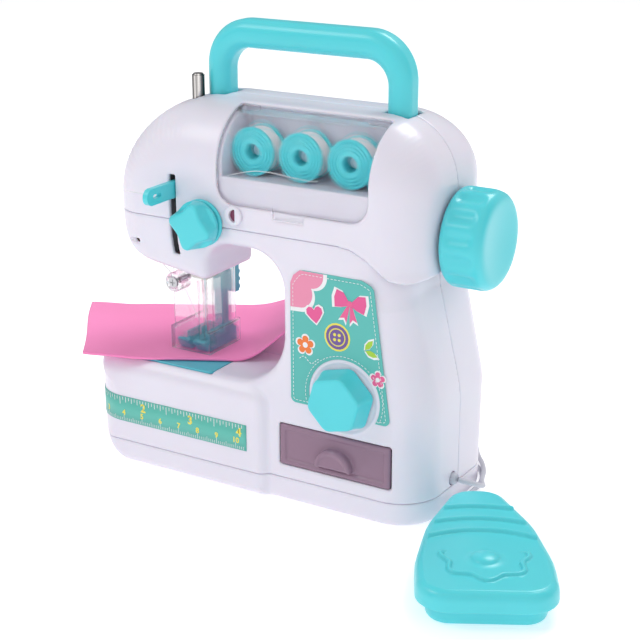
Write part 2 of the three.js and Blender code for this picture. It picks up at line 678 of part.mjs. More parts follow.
place('needle_bar', needleBar(), 'metal', { roughness: 0.15, metalness: 1 });
place('needle_yoke', needleYoke(), 'white');
place('needle_clamp', needleClamp(), 'metal', { metalness: 1 });
place('needle', needle(), 'metal', { roughness: 0.15, metalness: 1 });
place('needle_bar_bracket', needleBarBracket(), 'shell');
place('take_up_lever', takeUpLever(), 'turquoise', { roughness: 0.3 });

// ---------------------------------------------------------------- presser foot and guard

function presserBar() {
  const { x, y, width, depth } = PRESSER;
  const bar = box(x - width / 2, x + width / 2, y - depth / 2, y + depth / 2, 57, 76);
  const wide = box(x - width / 2 - 0.5, x + width / 2 + 0.5, y - depth / 2, y + depth / 2, 75.9, PRESSER.top);
  return joined(bar, wide);
}

function presserFoot() {
  const { x, y, width, depth } = PRESSER;
  const sole = drawn([
    [-19.3, 56.6], [-16.4, 52.1], [4.4, 52.1], [4.4, 54.1], [-15.8, 54.1], [-18.2, 57.4],
  ].map(([u, v]) => new THREE.Vector2(u, v)), 'x', NEEDLE.x - 7.4, NEEDLE.x + 7.4);
  const walls = [-7.4, 5.8].map((side) => (
    box(NEEDLE.x + side, NEEDLE.x + side + 1.6, -12, 4.4, 53.9, 58)));
  const ankle = cut(
    box(x - 4, x + 4, y - depth / 2 - 1.8, y + depth / 2 + 1.4, 53.9, 60.5),
    box(x - width / 2 - GAP, x + width / 2 + GAP, y - depth / 2 - GAP, y + depth / 2 + GAP, 56.7, 62),
  );
  const slot = box(NEEDLE.x - 1.3, NEEDLE.x + 1.3, -22, NEEDLE.y + 2.2, 50, 60);
  return cut(joined(sole, ankle, ...walls), slot);
}

// The lifter hangs behind the presser bar and turns back and up on its pin.
function presserLifter() {
  const { x, y, z, width } = LIFTER;
  const side = [x - width / 2, x + width / 2];
  const arm = box(...side, y - 1.6, y + 1.6, 73, z);
  const hub = rod('x', y, z, 2.8, ...side, 16);
  const bumps = [75, 78.5, 82].map((height) => rod('x', y + 1.4, height, 1.1, ...side, 10));
  return cut(joined(arm, hub, ...bumps), rod('x', y, z, 1.3, -50, -20, 10));
}

function needleGuard() {
  const { left, right, front, back, bottom, top, wall } = GUARD;
  const skirt = cut(
    box(left, right, front, back, bottom, top),
    box(left + wall, right - wall, front + wall, back + 1, bottom - 1, top + 1),
  );
  const shelf = cut(
    box(left, right, front, back, top - wall, top),
    box(left + 2.2, right - 2.6, front + wall, back + 1, top - 4, top + 1),
  );
  const panel = box(left + 2.2, right - 1.4, front, front + wall, top - 0.1, 91.2);
  const side = box(right - 2.6, right - 1.4, front, 2, top - 0.1, 91.2);
  const boss = rod('y', BOSS.x, BOSS.z, 4.3, BOSS.front, front + 0.1, 18);
  return cut(joined(skirt, shelf, panel, side, boss),
    rod('y', BOSS.x, BOSS.z, 1.3, BOSS.front - 1, front + 3, 10),
    rod('y', BOSS.x, BOSS.z, 2.7, BOSS.front - 1, BOSS.front + 1.4, 14));
}

place('presser_bar', presserBar(), 'teal', { roughness: 0.35 });
place('presser_foot', presserFoot(), 'teal', { roughness: 0.35 });
place('presser_lifter', presserLifter(), 'teal', { roughness: 0.35 });
place('needle_guard', needleGuard(), 'clear', { roughness: 0.05 });
place('guard_screw', screw('y', BOSS.x, BOSS.z, -29.2, -27.9, -18, 2.3, 1), 'metal', { metalness: 1 });

// ---------------------------------------------------------------- knobs, guides and drawer

// A knob's outline with rounded lobes round a circle.
function lobed(u, v, radius, depth, lobes, steps) {
  return Array.from({ length: steps }, (_, i) => {
    const angle = 2 * Math.PI * i / steps;
    const r = radius - depth * (1 - Math.cos(lobes * angle)) / 2;
    return new THREE.Vector2(u + r * Math.cos(angle), v + r * Math.sin(angle));
  });
}

function tensionKnob() {
  const { x, z, radius } = TENSION;
  return joined(
    rod('y', x, z, radius, -40.2, -38.4, 28),
    rod('y', x, z, 4, -38.5, -37.3, 14),
    drawn(lobed(x, z, radius - 0.4, 1.8, 6, 36), 'y', -44, -40.1),
    drawn(lobed(x, z, radius - 1.6, 1.8, 6, 36), 'y', -45.6, -43.9),
  );
}

function tensionStud() {
  const { x, z, radius } = TENSION;
  return joined(
    rod('y', x, z, radius, -37, -35.3, 28),
    rod('y', x, z, 2, -35.4, -30, 12),
  );
}

// A six-sided dial that narrows towards its flat face.
function dialKnob() {
  const { x, z, radius, faceY } = DIAL;
  const hexagon = (r) => Array.from({ length: 6 }, (_, i) => {
    const angle = Math.PI * (i / 3) + 0.24;
    return new THREE.Vector2(x + r * Math.cos(angle), z + r * Math.sin(angle));
  });
  return joined(
    drawn(hexagon(radius), 'y', -40, -35.6),
    drawn(hexagon(radius - 1), 'y', -43.2, -39.9),
    drawn(hexagon(radius - 2), 'y', faceY, -43.1),
    rod('y', x, z, 2.9, -35.7, -32, 12),
  );
}

function drawerBox() {
  const { left, right, bottom, top, back } = DRAWER;
  const face = box(left + GAP, right - GAP, BODY.front, -32.2, bottom + GAP, top - GAP);
  const tub = cut(
    box(left + 1.8, right - 1.8, -32.4, back, bottom + 1, top - 1.5),
    box(left + 3, right - 3, -32.2, back - 1.2, bottom + 2.4, top),
  );
  const middle = (left + right) / 2 + 0.4;
  const pull = rod('y', middle, 23.4, 8.5, -38.2, BODY.front + 0.1, 24)
    .intersect(box(0, 90, -50, 0, 23.4, 40));
  return joined(face, tub, pull);
}

function threadEye() {
  const x = -4.7;
  const z = 122.3;
  const collar = ring('y', x, z, 3, 1.7, -36.4, -35.3, 18);
  return collar;
}

place('tension_stud', tensionStud(), 'turquoise', { roughness: 0.3 });
place('tension_knob', tensionKnob(), 'turquoise', { roughness: 0.3 });
place('thread_eye', threadEye(), 'shell');
place('dial_knob', dialKnob(), 'turquoise', { roughness: 0.3 });
place('dial_switch', cut(box(41, 55, -32.6, -22, 46, 59.4), rod('y', DIAL.x, DIAL.z, 3.3, -40, -31.2, 12)), 'dark');
place('drawer', drawerBox(), 'smoky', { roughness: 0.1 });

// ---------------------------------------------------------------- the foot pedal and its lead

// The pedal's outline about its own centre: a straight wide end, and sides that close
// to a narrow end towards the machine.
function pedalOutline(shrink) {
  const side = [[26.6, -16, 60], [21.6, 13, 60], [9.2, PEDAL.half, 11]];
  const corners = [[-26.6, -PEDAL.half, 13], [26.6, -PEDAL.half, 13], ...side,
    ...side.map(([u, v, r]) => [-u, v, r]).reverse()];
  return inset(rounded(corners), shrink).map((point) => onPedal(point.x, point.y));
}

function onPedal(across, along) {
  return new THREE.Vector2(across, along).rotateAround(new THREE.Vector2(), PEDAL.turn)
    .add(new THREE.Vector2(PEDAL.x, PEDAL.y));
}

function pedalBase() {
  const shell = cut(
    joined(drawn(pedalOutline(3.4), 'z', 0.8, 8), drawn(pedalOutline(4.6), 'z', 0, 0.9)),
    drawn(pedalOutline(5.4), 'z', 2, 20),
  );
  const spot = onPedal(0, -6);
  return joined(shell, rod('z', spot.x, spot.y, 2.6, 1.9, 6.5, 12));
}

function pedalTop() {
  const cover = joined(
    drawn(pedalOutline(0.01), 'z', 7.2, 12.6),
    drawn(pedalOutline(0.8), 'z', 12.5, 14.2),
    drawn(pedalOutline(2.6), 'z', 14.1, PEDAL.top),
  );
  return cut(cover, drawn(pedalOutline(1.9), 'z', 2, 12.4), drawn(pedalOutline(4), 'z', 12.3, 13.4));
}

function pedalSpring() {
  const spot = onPedal(0, -6);
  return ring('z', spot.x, spot.y, 4.4, 3, 2.3, 13.1, 16);
}

// A tube along a smooth curve through the given points.
function tube(points) {
  const path = new THREE.CatmullRomCurve3(points.map((p) => new THREE.Vector3(...p)), false, 'centripetal');
  const section = new THREE.Shape(circle(0, 0, CORD.radius, CORD.sides));
  const steps = Math.min(80, Math.ceil(path.getLength() / (CORD.radius * 5)));
  return new THREE.ExtrudeGeometry(section, { steps, bevelEnabled: false, extrudePath: path });
}

// From the grommet down the machine's side, round its back corner and to the coil.
const LEAD_FROM_MACHINE = [
  [85.8, -5, 13.6], [88, -3.2, 12.4], [90.2, 0.4, 10.6], [91.4, 4.6, 8.4], [91, 9, 6.4],
  [89, 13, 5], [86.8, 17, 4.2], [85, 21.4, 3.8], [83.4, 26.2, 3.8], [81.2, 30.6, 3.8],
  [79, 34.6, 3.4], [76.6, 38.8, 2.4], [73.4, 43.6, 1.5], [69.8, 49, 1.2], [65.8, 55.4, 1.2],
  [62.2, 60.6, 1.2],
];
// From the coil back round the machine's corner and along the floor to the pedal's narrow end.
const LEAD_TO_PEDAL = [
  [58.2, 49.6, 1.2], [62.6, 46.4, 1.2], [67.4, 42.8, 1.2], [72.2, 38.8, 1.2], [77.2, 34.4, 1.2],
  [81, 29.6, 1.2], [83.6, 24.2, 1.2], [84.9, 18.2, 1.2], [85, 12, 1.2], [85.2, 6, 1.2],
  [86.2, 0.6, 1.2], [88.6, -3.8, 1.6], [91.4, -6.8, 2.4], [93.6, -8.6, 3.2],
];
const COIL = { x: 44, y: 62, inner: 8.8, outer: 17.2, height: 5.4 };

function cordCoil() {
  const { x, y, inner, outer, height } = COIL;
  const profile = [[inner, 0.3], [outer, 0.3], [outer, height], [inner, height], [inner, 0.3]];
  const geometry = new THREE.LatheGeometry(profile.map(([r, h]) => new THREE.Vector2(r, h)), 28);
  geometry.rotateX(Math.PI / 2);
  geometry.translate(x, y, 0);
  return solid(geometry);
}

function cordGrommet() {
  const { y, z } = CORD_EXIT;
  const profile = [[0, 80], [2.6, 80], [2.6, 84], [2, 85.1], [0, 85.1]];
  const geometry = new THREE.LatheGeometry(profile.map(([r, h]) => new THREE.Vector2(r, h)), 14);
  geometry.rotateZ(-Math.PI / 2);
  geometry.translate(0, y, z);
  return solid(geometry);
}

// A tapered sleeve from the pedal's narrow end to where its lead begins.
function pedalStrainRelief() {
  const start = onPedal(0, PEDAL.half - 2.3);
  const end = new THREE.Vector3(93.9, -8.8, 3.4);
  const from = new THREE.Vector3(start.x, start.y, 4.6);
  const axis = end.clone().sub(from);
  const length = axis.length();
  const profile = [[0, 0], [2.4, 0], [1.6, length], [0, length]];
  const geometry = new THREE.LatheGeometry(profile.map(([r, h]) => new THREE.Vector2(r, h)), 12);
  geometry.applyQuaternion(new THREE.Quaternion().setFromUnitVectors(
    new THREE.Vector3(0, 1, 0), axis.normalize()));
  geometry.translate(from.x, from.y, from.z);
  return solid(geometry);
}

place('pedal_base', pedalBase(), 'turquoise', { roughness: 0.35 });
place('pedal_top', pedalTop(), 'turquoise', { roughness: 0.35 });
place('pedal_spring', pedalSpring(), 'metal', { metalness: 1 });
place('pedal_strain_relief', pedalStrainRelief(), 'cord');
place('cord_grommet', cordGrommet(), 'cord');
place('cord_lead_machine', tube(LEAD_FROM_MACHINE), 'cord');
place('cord_coil', cordCoil(), 'cord');
place('cord_lead_pedal', tube(LEAD_TO_PEDAL), 'cord');

export default machine;
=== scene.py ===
import functools
from math import acos, atan2, ceil, cos, exp, pi, radians, sin, sqrt, tan

import bpy
import numpy as np
from mathutils import Matrix, Vector


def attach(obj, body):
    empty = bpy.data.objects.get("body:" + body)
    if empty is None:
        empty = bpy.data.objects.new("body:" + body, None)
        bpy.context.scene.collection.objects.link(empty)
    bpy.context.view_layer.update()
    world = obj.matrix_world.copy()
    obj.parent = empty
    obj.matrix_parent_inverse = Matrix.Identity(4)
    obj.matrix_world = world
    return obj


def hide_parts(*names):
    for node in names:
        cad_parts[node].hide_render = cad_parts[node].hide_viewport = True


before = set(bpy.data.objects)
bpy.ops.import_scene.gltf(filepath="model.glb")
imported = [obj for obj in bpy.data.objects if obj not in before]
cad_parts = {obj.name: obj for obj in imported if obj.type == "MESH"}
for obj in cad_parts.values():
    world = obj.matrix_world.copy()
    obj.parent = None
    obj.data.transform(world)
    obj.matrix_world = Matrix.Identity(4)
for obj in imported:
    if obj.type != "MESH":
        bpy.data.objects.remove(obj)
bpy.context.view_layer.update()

MM = 0.001

# ---------------- camera and cord


def new_object(name, data):
    made = bpy.data.objects.new(name, data)
    bpy.context.collection.objects.link(made)
    return made


def make_camera():
    data = bpy.data.cameras.new("camera")
    data.lens = 84.76
    data.sensor_width = 36.0
    data.clip_start = 0.05
    data.clip_end = 20.0
    camera = new_object("camera", data)
    camera.location = (0.3303, -0.5279, 0.2836)
    camera.rotation_euler = (radians(70.86), 0.0, radians(30.81))
    bpy.context.scene.camera = camera


make_camera()


def smooth_route(points, per_span=6):
    """Points along a Catmull-Rom curve through the given ones."""
    p = np.array(points, float)
    p = np.vstack([2 * p[0] - p[1], p, 2 * p[-1] - p[-2]])
    out = []
    for i in range(1, len(p) - 2):
        for t in np.linspace(0, 1, per_span, endpoint=False):
            a = 2 * p[i]
            b = (p[i + 1] - p[i - 1]) * t
            c = (2 * p[i - 1] - 5 * p[i] + 4 * p[i + 1] - p[i + 2]) * t ** 2
            d = (3 * p[i] - p[i - 1] - 3 * p[i + 1] + p[i + 2]) * t ** 3
            out.append((a + b + c + d) / 2)
    out.append(p[-2])
    return np.array(out)


CORD_DIAMETER = 2.2
LEAD_FROM_MACHINE = [
    (85.8, -5, 13.6), (88, -3.2, 12.4), (90.2, 0.4, 10.6), (91.4, 4.6, 8.4), (91, 9, 6.4),
    (89, 13, 5), (86.8, 17, 4.2), (85, 21.4, 3.8), (83.4, 26.2, 3.8), (81.2, 30.6, 3.8),
    (79, 34.6, 3.4), (76.6, 38.8, 2.4), (73.4, 43.6, 1.5), (69.8, 49, 1.2), (65.8, 55.4, 1.2),
]
LEAD_TO_PEDAL = [
    (62.6, 46.4, 1.2), (67.4, 42.8, 1.2), (72.2, 38.8, 1.2), (77.2, 34.4, 1.2), (81, 29.6, 1.2),
    (83.6, 24.2, 1.2), (84.9, 18.2, 1.2), (85, 12, 1.2), (85.2, 6, 1.2), (86.2, 0.6, 1.2),
    (88.6, -3.8, 1.6), (91.4, -6.8, 2.4), (93.6, -8.6, 3.2),
]
COIL_CENTRE = (44, 62)


def coil_turns():
    """Three turns in on the floor, and three back out on top of them."""
    x, y = COIL_CENTRE
    points = []
    turns, count = 5.9, 96
    for i in range(count + 1):
        turn = turns * i / count
        angle = radians(-12) + 2 * pi * turn
        radius = 15.9 - 5.9 * min(turn, turns - turn) / (turns / 2)
        height = 1.35 + 2.4 / (1 + exp(-(turn - turns / 2) * 9))
        points.append((x + radius * cos(angle), y + radius * sin(angle), height))
    return points


def tube(name, line, diameter, resolution):
    """A round strand along points in metres."""
    curve = bpy.data.curves.new(name, "CURVE")
    curve.dimensions = "3D"
    curve.bevel_depth = 1.0
    curve.bevel_resolution = resolution
    curve.use_fill_caps = True
    spline = curve.splines.new("POLY")
    spline.points.add(len(line) - 1)
    for point, place in zip(spline.points, line):
        point.co = (*place, 1)
        point.radius = diameter / 2 * MM
    spline.use_smooth = True
    return new_object(name, curve)


def make_cord():
    route = LEAD_FROM_MACHINE + coil_turns() + LEAD_TO_PEDAL
    line = smooth_route(route, 4) * MM
    cord = tube("cord", line, CORD_DIAMETER, 3)
    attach(cord, "machine")
    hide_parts("cord_lead_machine", "cord_coil", "cord_lead_pedal")
    return cord


# ---------------- materials

WHITE_TONE = (0.85, 0.85, 0.87)
CHROME_TONE = (0.42, 0.38, 0.35)
CLEAR_TONE = (0.95, 0.96, 0.99)


def material(name, tone, roughness=0.35, metallic=0.0, grain=0.15, grain_size=0.6, wear=0.04, **more):
    """A procedural finish: a tone with slight drift, uneven gloss and a fine surface grain."""
    made = bpy.data.materials.new(name)
    made.use_nodes = True
    nodes = made.node_tree.nodes
    links = made.node_tree.links
    shader = nodes["Principled BSDF"]
    place = nodes.new("ShaderNodeTexCoord")
    drift = nodes.new("ShaderNodeTexNoise")
    drift.inputs["Scale"].default_value = 35.0
    drift.inputs["Detail"].default_value = 4.0
    links.new(place.outputs["Object"], drift.inputs["Vector"])
    colour = nodes.new("ShaderNodeMix")
    colour.data_type = "RGBA"
    colour.inputs[6].default_value = (*[c * (1 - wear) for c in tone], 1)
    colour.inputs[7].default_value = (*[min(1, c * (1 + wear)) for c in tone], 1)
    links.new(drift.outputs["Fac"], colour.inputs[0])
    links.new(colour.outputs[2], shader.inputs["Base Color"])
    gloss = nodes.new("ShaderNodeMapRange")
    gloss.inputs["To Min"].default_value = roughness * 0.85
    gloss.inputs["To Max"].default_value = roughness * 1.15
    links.new(drift.outputs["Fac"], gloss.inputs["Value"])
    links.new(gloss.outputs["Result"], shader.inputs["Roughness"])
    shader.inputs["Metallic"].default_value = metallic
    fine = nodes.new("ShaderNodeTexNoise")
    fine.inputs["Scale"].default_value = 1000.0 / grain_size
    links.new(place.outputs["Object"], fine.inputs["Vector"])
    bump = nodes.new("ShaderNodeBump")
    bump.inputs["Strength"].default_value = grain
    bump.inputs["Distance"].default_value = 0.00005
    links.new(fine.outputs["Fac"], bump.inputs["Height"])
    links.new(bump.outputs["Normal"], shader.inputs["Normal"])
    for key, value in more.items():
        socket = key.replace("_", " ").title().replace("Ior", "IOR")
        shader.inputs[socket].default_value = value
    return made


def radial_bands(tree, ends, stops, tint=(1, 1, 1)):
    """Bands of tone swept round an axis: the sweep's node and the colour it gives."""
    sweep = tree.nodes.new("ShaderNodeTexGradient")
    sweep.gradient_type = "RADIAL"
    bands = tree.nodes.new("ShaderNodeValToRGB")
    tree.links.new(sweep.outputs["Fac"], bands.inputs["Fac"])
    ramp = bands.color_ramp.elements
    ramp[0].color = ramp[1].color = (*ends, 1)
    for spot, level in stops:
        ramp.new(spot).color = (*[level * part for part in tint], 1)
    return sweep, bands.outputs["Color"]


def streak(made, x, y):
    """Painted reflection: dark and bright bands of base colour round an upright polished bar centred at x and
    y.
    """
    tree = made.node_tree
    place = tree.nodes.new("ShaderNodeTexCoord")
    centred = tree.nodes.new("ShaderNodeMapping")
    centred.inputs["Location"].default_value = (-x * MM, -y * MM, 0)
    # Where the painted reflection bands fall round the bar, and how bright each one is.
    stops = ((0.20, 0.10), (0.25, 0.75), (0.29, 0.30), (0.36, 0.85), (0.41, 0.30), (0.46, 0.08))
    sweep, colour = radial_bands(tree, (0.10, 0.09, 0.09), stops, (1, 0.96, 0.93))
    tree.links.new(place.outputs["Object"], centred.inputs["Vector"])
    tree.links.new(centred.outputs["Vector"], sweep.inputs["Vector"])
    tree.links.new(colour, tree.nodes["Principled BSDF"].inputs["Base Color"])
    return made


NEEDLE_BAR_X, NEEDLE_BAR_Y = -39, -9

SHELL = material("shell_plastic", (0.78, 0.745, 0.84), 0.30, subsurface_weight=0.12, subsurface_scale=0.004)
TURQUOISE = material("turquoise_plastic", (0.09, 0.66, 0.73), 0.30,
                     subsurface_weight=0.08, subsurface_scale=0.003)
TEAL = material("teal_plastic", (0.05, 0.42, 0.52))
PLATE = material("plate_plastic", (0.10, 0.52, 0.62))
LABEL = material("label_film", (0.10, 0.49, 0.45), 0.42, grain=0.1)
RULER = material("ruler_film", (0.11, 0.50, 0.42), 0.42, grain=0.1)
WHITE = material("white_plastic", WHITE_TONE, 0.4)
YELLOW = material("yellow_print", (0.85, 0.75, 0.10), 0.45)
PINK_PRINT = material("pink_print", (0.78, 0.10, 0.30), 0.45)
SOFT_PINK = material("soft_pink_print", (0.80, 0.27, 0.42), 0.45)
ORANGE = material("orange_print", (0.85, 0.20, 0.04), 0.45)
ROSE = material("rose_print", (0.80, 0.12, 0.30), 0.45)
PURPLE = material("purple_print", (0.16, 0.09, 0.32), 0.45)
LIME = material("lime_print", (0.38, 0.62, 0.05), 0.45)
# Grey standing in for the shaded inside of the lever slot: painted shade.
SLOT_PAINTED_SHADE = material("slot_painted_shade", (0.20, 0.19, 0.21), 0.5)
# Dark red-brown for the thread eye's opening: painted shade.
OPENING_SHADE = material("eye_opening_painted_shade", (0.20, 0.035, 0.09))
SMOKY = material("smoky_plastic", (0.42, 0.27, 0.37), 0.10, transmission_weight=0.3, ior=1.3)
DARK = material("dark_plastic", (0.05, 0.045, 0.06), 0.5)
CORD = material("cord_plastic", (0.55, 0.55, 0.62), 0.45)
STEEL = material("steel", (0.55, 0.55, 0.57), 0.32, 1.0, grain=0.3)
CHROME = material("chrome", CHROME_TONE, 0.14, 1.0, grain=0.05)
# The needle bar's base colour carries painted reflection bands.
REFLECTION_PAINTED_BAR = streak(material("polished_bar_painted_reflection", CHROME_TONE, 0.16, 1.0, grain=0.05), NEEDLE_BAR_X, NEEDLE_BAR_Y)
BRASS = material("brass", (0.68, 0.48, 0.20), 0.3, 1.0)
RUBBER = material("rubber", (0.02, 0.02, 0.02), 0.7, grain=0.4)
CELL = material("cell_wrap", (0.06, 0.20, 0.10), 0.3)
CLEAR = material("clear_plastic", CLEAR_TONE, 0.04, grain=0.0, transmission_weight=1.0, ior=1.18, alpha=0.34)
GUARD = material("guard_plastic", CLEAR_TONE, 0.06, grain=0.0, transmission_weight=1.0, ior=1.35, alpha=0.62)
THREAD = material("thread", WHITE_TONE, 0.85, grain=0.6, grain_size=0.5)
FELT = material("felt", (1.0, 0.27, 0.56), 0.95, grain=0.7, grain_size=0.8, wear=0.08, sheen_weight=0.15)

# ---------------- shapes from distance fields


def rounded(corners, step=radians(5)):
    """An outline whose corners (u, v, radius) are rounded by arcs."""
    points = []
    count = len(corners)
    for i, (u, v, radius) in enumerate(corners):
        corner = np.array([u, v], float)
        if radius == 0:
            points.append(corner)
            continue
        back = np.array(corners[i - 1][:2], float) - corner
        ahead = np.array(corners[(i + 1) % count][:2], float) - corner
        back /= np.linalg.norm(back)
        ahead /= np.linalg.norm(ahead)
        half = acos(np.clip(back @ ahead, -1, 1)) / 2
        middle = back + ahead
        centre = corner + middle / np.linalg.norm(middle) * radius / sin(half)
        start = corner + back * radius / tan(half) - centre
        end = corner + ahead * radius / tan(half) - centre
        sweep = atan2(start[0] * end[1] - start[1] * end[0], start @ end)
        steps = max(1, ceil(abs(sweep) / step))
        for k in range(steps + 1):
            c, s = cos(sweep * k / steps), sin(sweep * k / steps)
            points.append(centre + np.array([c * start[0] - s * start[1], s * start[0] + c * start[1]]))
    return np.array(points)


def outline_field(points, U, V):
    """Signed distance to a closed outline over two axes that broadcast together."""
    U, V = np.broadcast_arrays(U, V)
    nearest = np.full(U.shape, 1e9, np.float32)
    inside = np.zeros(U.shape, bool)
    for (ax, ay), (bx, by) in zip(points, np.roll(points, -1, axis=0)):
        ex, ey = bx - ax, by - ay
        size = ex * ex + ey * ey
        if size < 1e-12:
            continue
        t = np.clip(((U - ax) * ex + (V - ay) * ey) / size, 0, 1)
        nearest = np.minimum(nearest, (U - ax - t * ex) ** 2 + (V - ay - t * ey) ** 2)
        crossing = (ay > V) != (by > V)
        if abs(ey) > 1e-12:
            inside ^= crossing & (U < ax + ex * (V - ay) / ey)
    return np.where(inside, -np.sqrt(nearest), np.sqrt(nearest)).astype(np.float32)


def both(a, b, soft=0.0):
    """Intersection of two fields, its edge rounded over a width."""
    if soft == 0:
        return np.maximum(a, b)
    h = np.maximum(soft - abs(a - b), 0) / soft
    return np.maximum(a, b) + h * h * soft / 4


def either(a, b, soft=0.0):
    return -both(-a, -b, soft)


def without(a, b, soft=0.0):
    return both(a, -b, soft)


def block(X, Y, Z, x0, x1, y0, y1, z0, z1, radius=0.0):
    """Signed distance to a box with rounded edges."""
    qx = abs(X - (x0 + x1) / 2) - (x1 - x0) / 2 + radius
    qy = abs(Y - (y0 + y1) / 2) - (y1 - y0) / 2 + radius
    qz = abs(Z - (z0 + z1) / 2) - (z1 - z0) / 2 + radius
    outside = np.sqrt(np.maximum(qx, 0) ** 2 + np.maximum(qy, 0) ** 2 + np.maximum(qz, 0) ** 2)
    return outside + np.minimum(np.maximum(np.maximum(qx, qy), qz), 0) - radius


def meet(*fields):
    """Intersection of fields with sharp edges."""
    return functools.reduce(np.maximum, fields)


def merge(*fields):
    """Union of fields with sharp edges."""
    return functools.reduce(np.minimum, fields)


def disc(U, V, u, v, radius):
    return np.sqrt((U - u) ** 2 + (V - v) ** 2) - radius


def polygon(U, V, angles, soft):
    """How far along the nearest side's direction a point lies, the corners rounded."""
    reach = None
    for angle in angles:
        side = U * cos(angle) + V * sin(angle)
        reach = side if reach is None else both(reach, side, soft)
    return reach


def grid(low, high, step):
    axes = [np.arange(a - 1.5 * step, b + 1.6 * step, step, dtype=np.float32) for a, b in zip(low, high)]
    return axes[0][:, None, None], axes[1][None, :, None], axes[2][None, None, :]


def surface(field, low, step):
    """Vertices and quads of a field's zero surface, by surface nets."""
    inside = field < 0
    nx, ny, nz = field.shape
    count = np.zeros((nx - 1, ny - 1, nz - 1), np.int8)
    for i, j, k in np.ndindex(2, 2, 2):
        count += inside[i:nx - 1 + i, j:ny - 1 + j, k:nz - 1 + k]
    cells = np.argwhere((count > 0) & (count < 8))
    index = np.full(count.shape, -1, np.int64)
    index[tuple(cells.T)] = np.arange(len(cells))
    total = np.zeros((len(cells), 3))
    number = np.zeros(len(cells))
    for a in range(8):
        for bit in (1, 2, 4):
            if a & bit:
                continue
            first = np.array([a >> 2 & 1, a >> 1 & 1, a & 1])
            second = first + np.array([bit >> 2 & 1, bit >> 1 & 1, bit & 1])
            fa = field[tuple((cells + first).T)]
            fb = field[tuple((cells + second).T)]
            crossing = (fa < 0) != (fb < 0)
            t = fa[crossing] / (fa[crossing] - fb[crossing])
            total[crossing] += first + t[:, None] * (second - first)
            number[crossing] += 1
    vertices = np.array(low) + step * (cells + total / number[:, None])
    quads = []
    for axis in range(3):
        spots = np.argwhere(np.diff(inside, axis=axis))
        u, v = [d for d in range(3) if d != axis]
        spots = spots[(spots[:, u] > 0) & (spots[:, v] > 0)]
        spots = spots[(spots[:, u] < field.shape[u] - 1) & (spots[:, v] < field.shape[v] - 1)]
        ring = []
        for du, dv in ((0, 0), (-1, 0), (-1, -1), (0, -1)):
            cell = spots.copy()
            cell[:, u] += du
            cell[:, v] += dv
            ring.append(index[tuple(cell.T)])
        faces = np.stack(ring, axis=1)
        flip = inside[tuple(spots.T)]
        if axis == 1:
            flip = ~flip
        faces[~flip] = faces[~flip][:, ::-1]
        quads.append(faces)
    return vertices, np.vstack(quads)


def mesh_object(name, vertices, faces, finish, smooth=True):
    mesh = bpy.data.meshes.new(name)
    mesh.from_pydata(np.asarray(vertices).tolist(), [], faces)
    mesh.polygons.foreach_set("use_smooth", [smooth] * len(mesh.polygons))
    mesh.materials.append(finish)
    return new_object(name, mesh)


def moulded(name, shape, low, high, step, finish, keep):
    """A smooth mesh of the solid where shape(X, Y, Z) is negative, in millimetres."""
    X, Y, Z = grid(low, high, step)
    field = np.broadcast_to(shape(X, Y, Z), np.broadcast_shapes(X.shape, Y.shape, Z.shape))
    field = np.array(field, np.float32)
    vertices, faces = surface(field, (X.flat[0], Y.flat[0], Z.flat[0]), step)
    made = mesh_object(name, vertices * MM, faces.tolist(), finish)
    thin = made.modifiers.new("thin", "DECIMATE")
    thin.ratio = keep
    apply_modifiers(made)
    return made


def apply_modifiers(made):
    graph = bpy.context.evaluated_depsgraph_get()
    new = bpy.data.meshes.new_from_object(made.evaluated_get(graph))
    made.modifiers.clear()
    made.data = new


def stands_for(made, body, slot_name, *nodes):
    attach(made, body)
    if nodes:
        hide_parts(*nodes)
    return made


def mould_all(finish, slot_name, rows):
    """Moulds each row's piece and sets it in a node's place."""
    for name, shape, low, high, step, keep, body, node in rows:
        stands_for(moulded(name, shape, low, high, step, finish, keep), body, slot_name, node)


# ---------------- the casing

WALL = 2.0
SEAM = 0.02
TRAY_TOP = 10.3
DIAL_X, DIAL_Z = 47.85, 52.75
KNOB_X, KNOB_Z = -20, 117.3
SHAFT_Z = 117.6
BLOCK_LOW = rounded([
    (-69, -20, 0), (83.3, -20, 0), (83.3, 52, 44), (72.4, 97, 14), (72.4, 165.5, 28), (-69, 165.5, 42),
])
BLOCK_CAP = rounded([(-69, -20, 0), (79.3, -20, 0), (79.3, 165.5, 28), (-69, 165.5, 42)])
THROAT = rounded([
    (-260, 50, 0), (17.9, 50, 24), (17.9, 108.5, 16), (-19.3, 108.5, 10), (-19.3, 91, 3),
    (-69.6, 98.5, 26), (-69.6, 260, 0), (-260, 260, 0),
])
BED_FRONT = rounded([(-83.2, 0, 20), (11.5, 0, 3), (11.5, 50, 9), (-83.2, 50, 10)])


def rounded_prism(outline, front, back, radius_of, X, Y, Z):
    """An outline in x and z carried from front to back, its edges rounded.

    radius_of gives the edge radius from how far the outline faces right, left, up and down.
    """
    side = outline_field(outline, X, Z)
    flat = side[:, 0, :]
    step = float(X[1, 0, 0] - X[0, 0, 0])
    facing_x, facing_z = np.gradient(flat, step)
    size = np.maximum(np.hypot(facing_x, facing_z), 1e-6)
    facing_x, facing_z = (facing_x / size)[:, None, :], (facing_z / size)[:, None, :]
    wall = np.maximum(front - Y, Y - back)
    radius = radius_of(facing_x, facing_z, X, Y, Z)
    a, b = side + radius, wall + radius
    edge = np.sqrt(np.maximum(a, 0) ** 2 + np.maximum(b, 0) ** 2) - radius
    return np.where((a > 0) & (b > 0), edge, np.maximum(side, wall))


def edge_radius(facing_x, facing_z, right, left, up, down):
    sides = np.maximum(facing_x, 0) ** 2 * right + np.maximum(-facing_x, 0) ** 2 * left
    return sides + np.maximum(facing_z, 0) ** 2 * up + np.maximum(-facing_z, 0) ** 2 * down


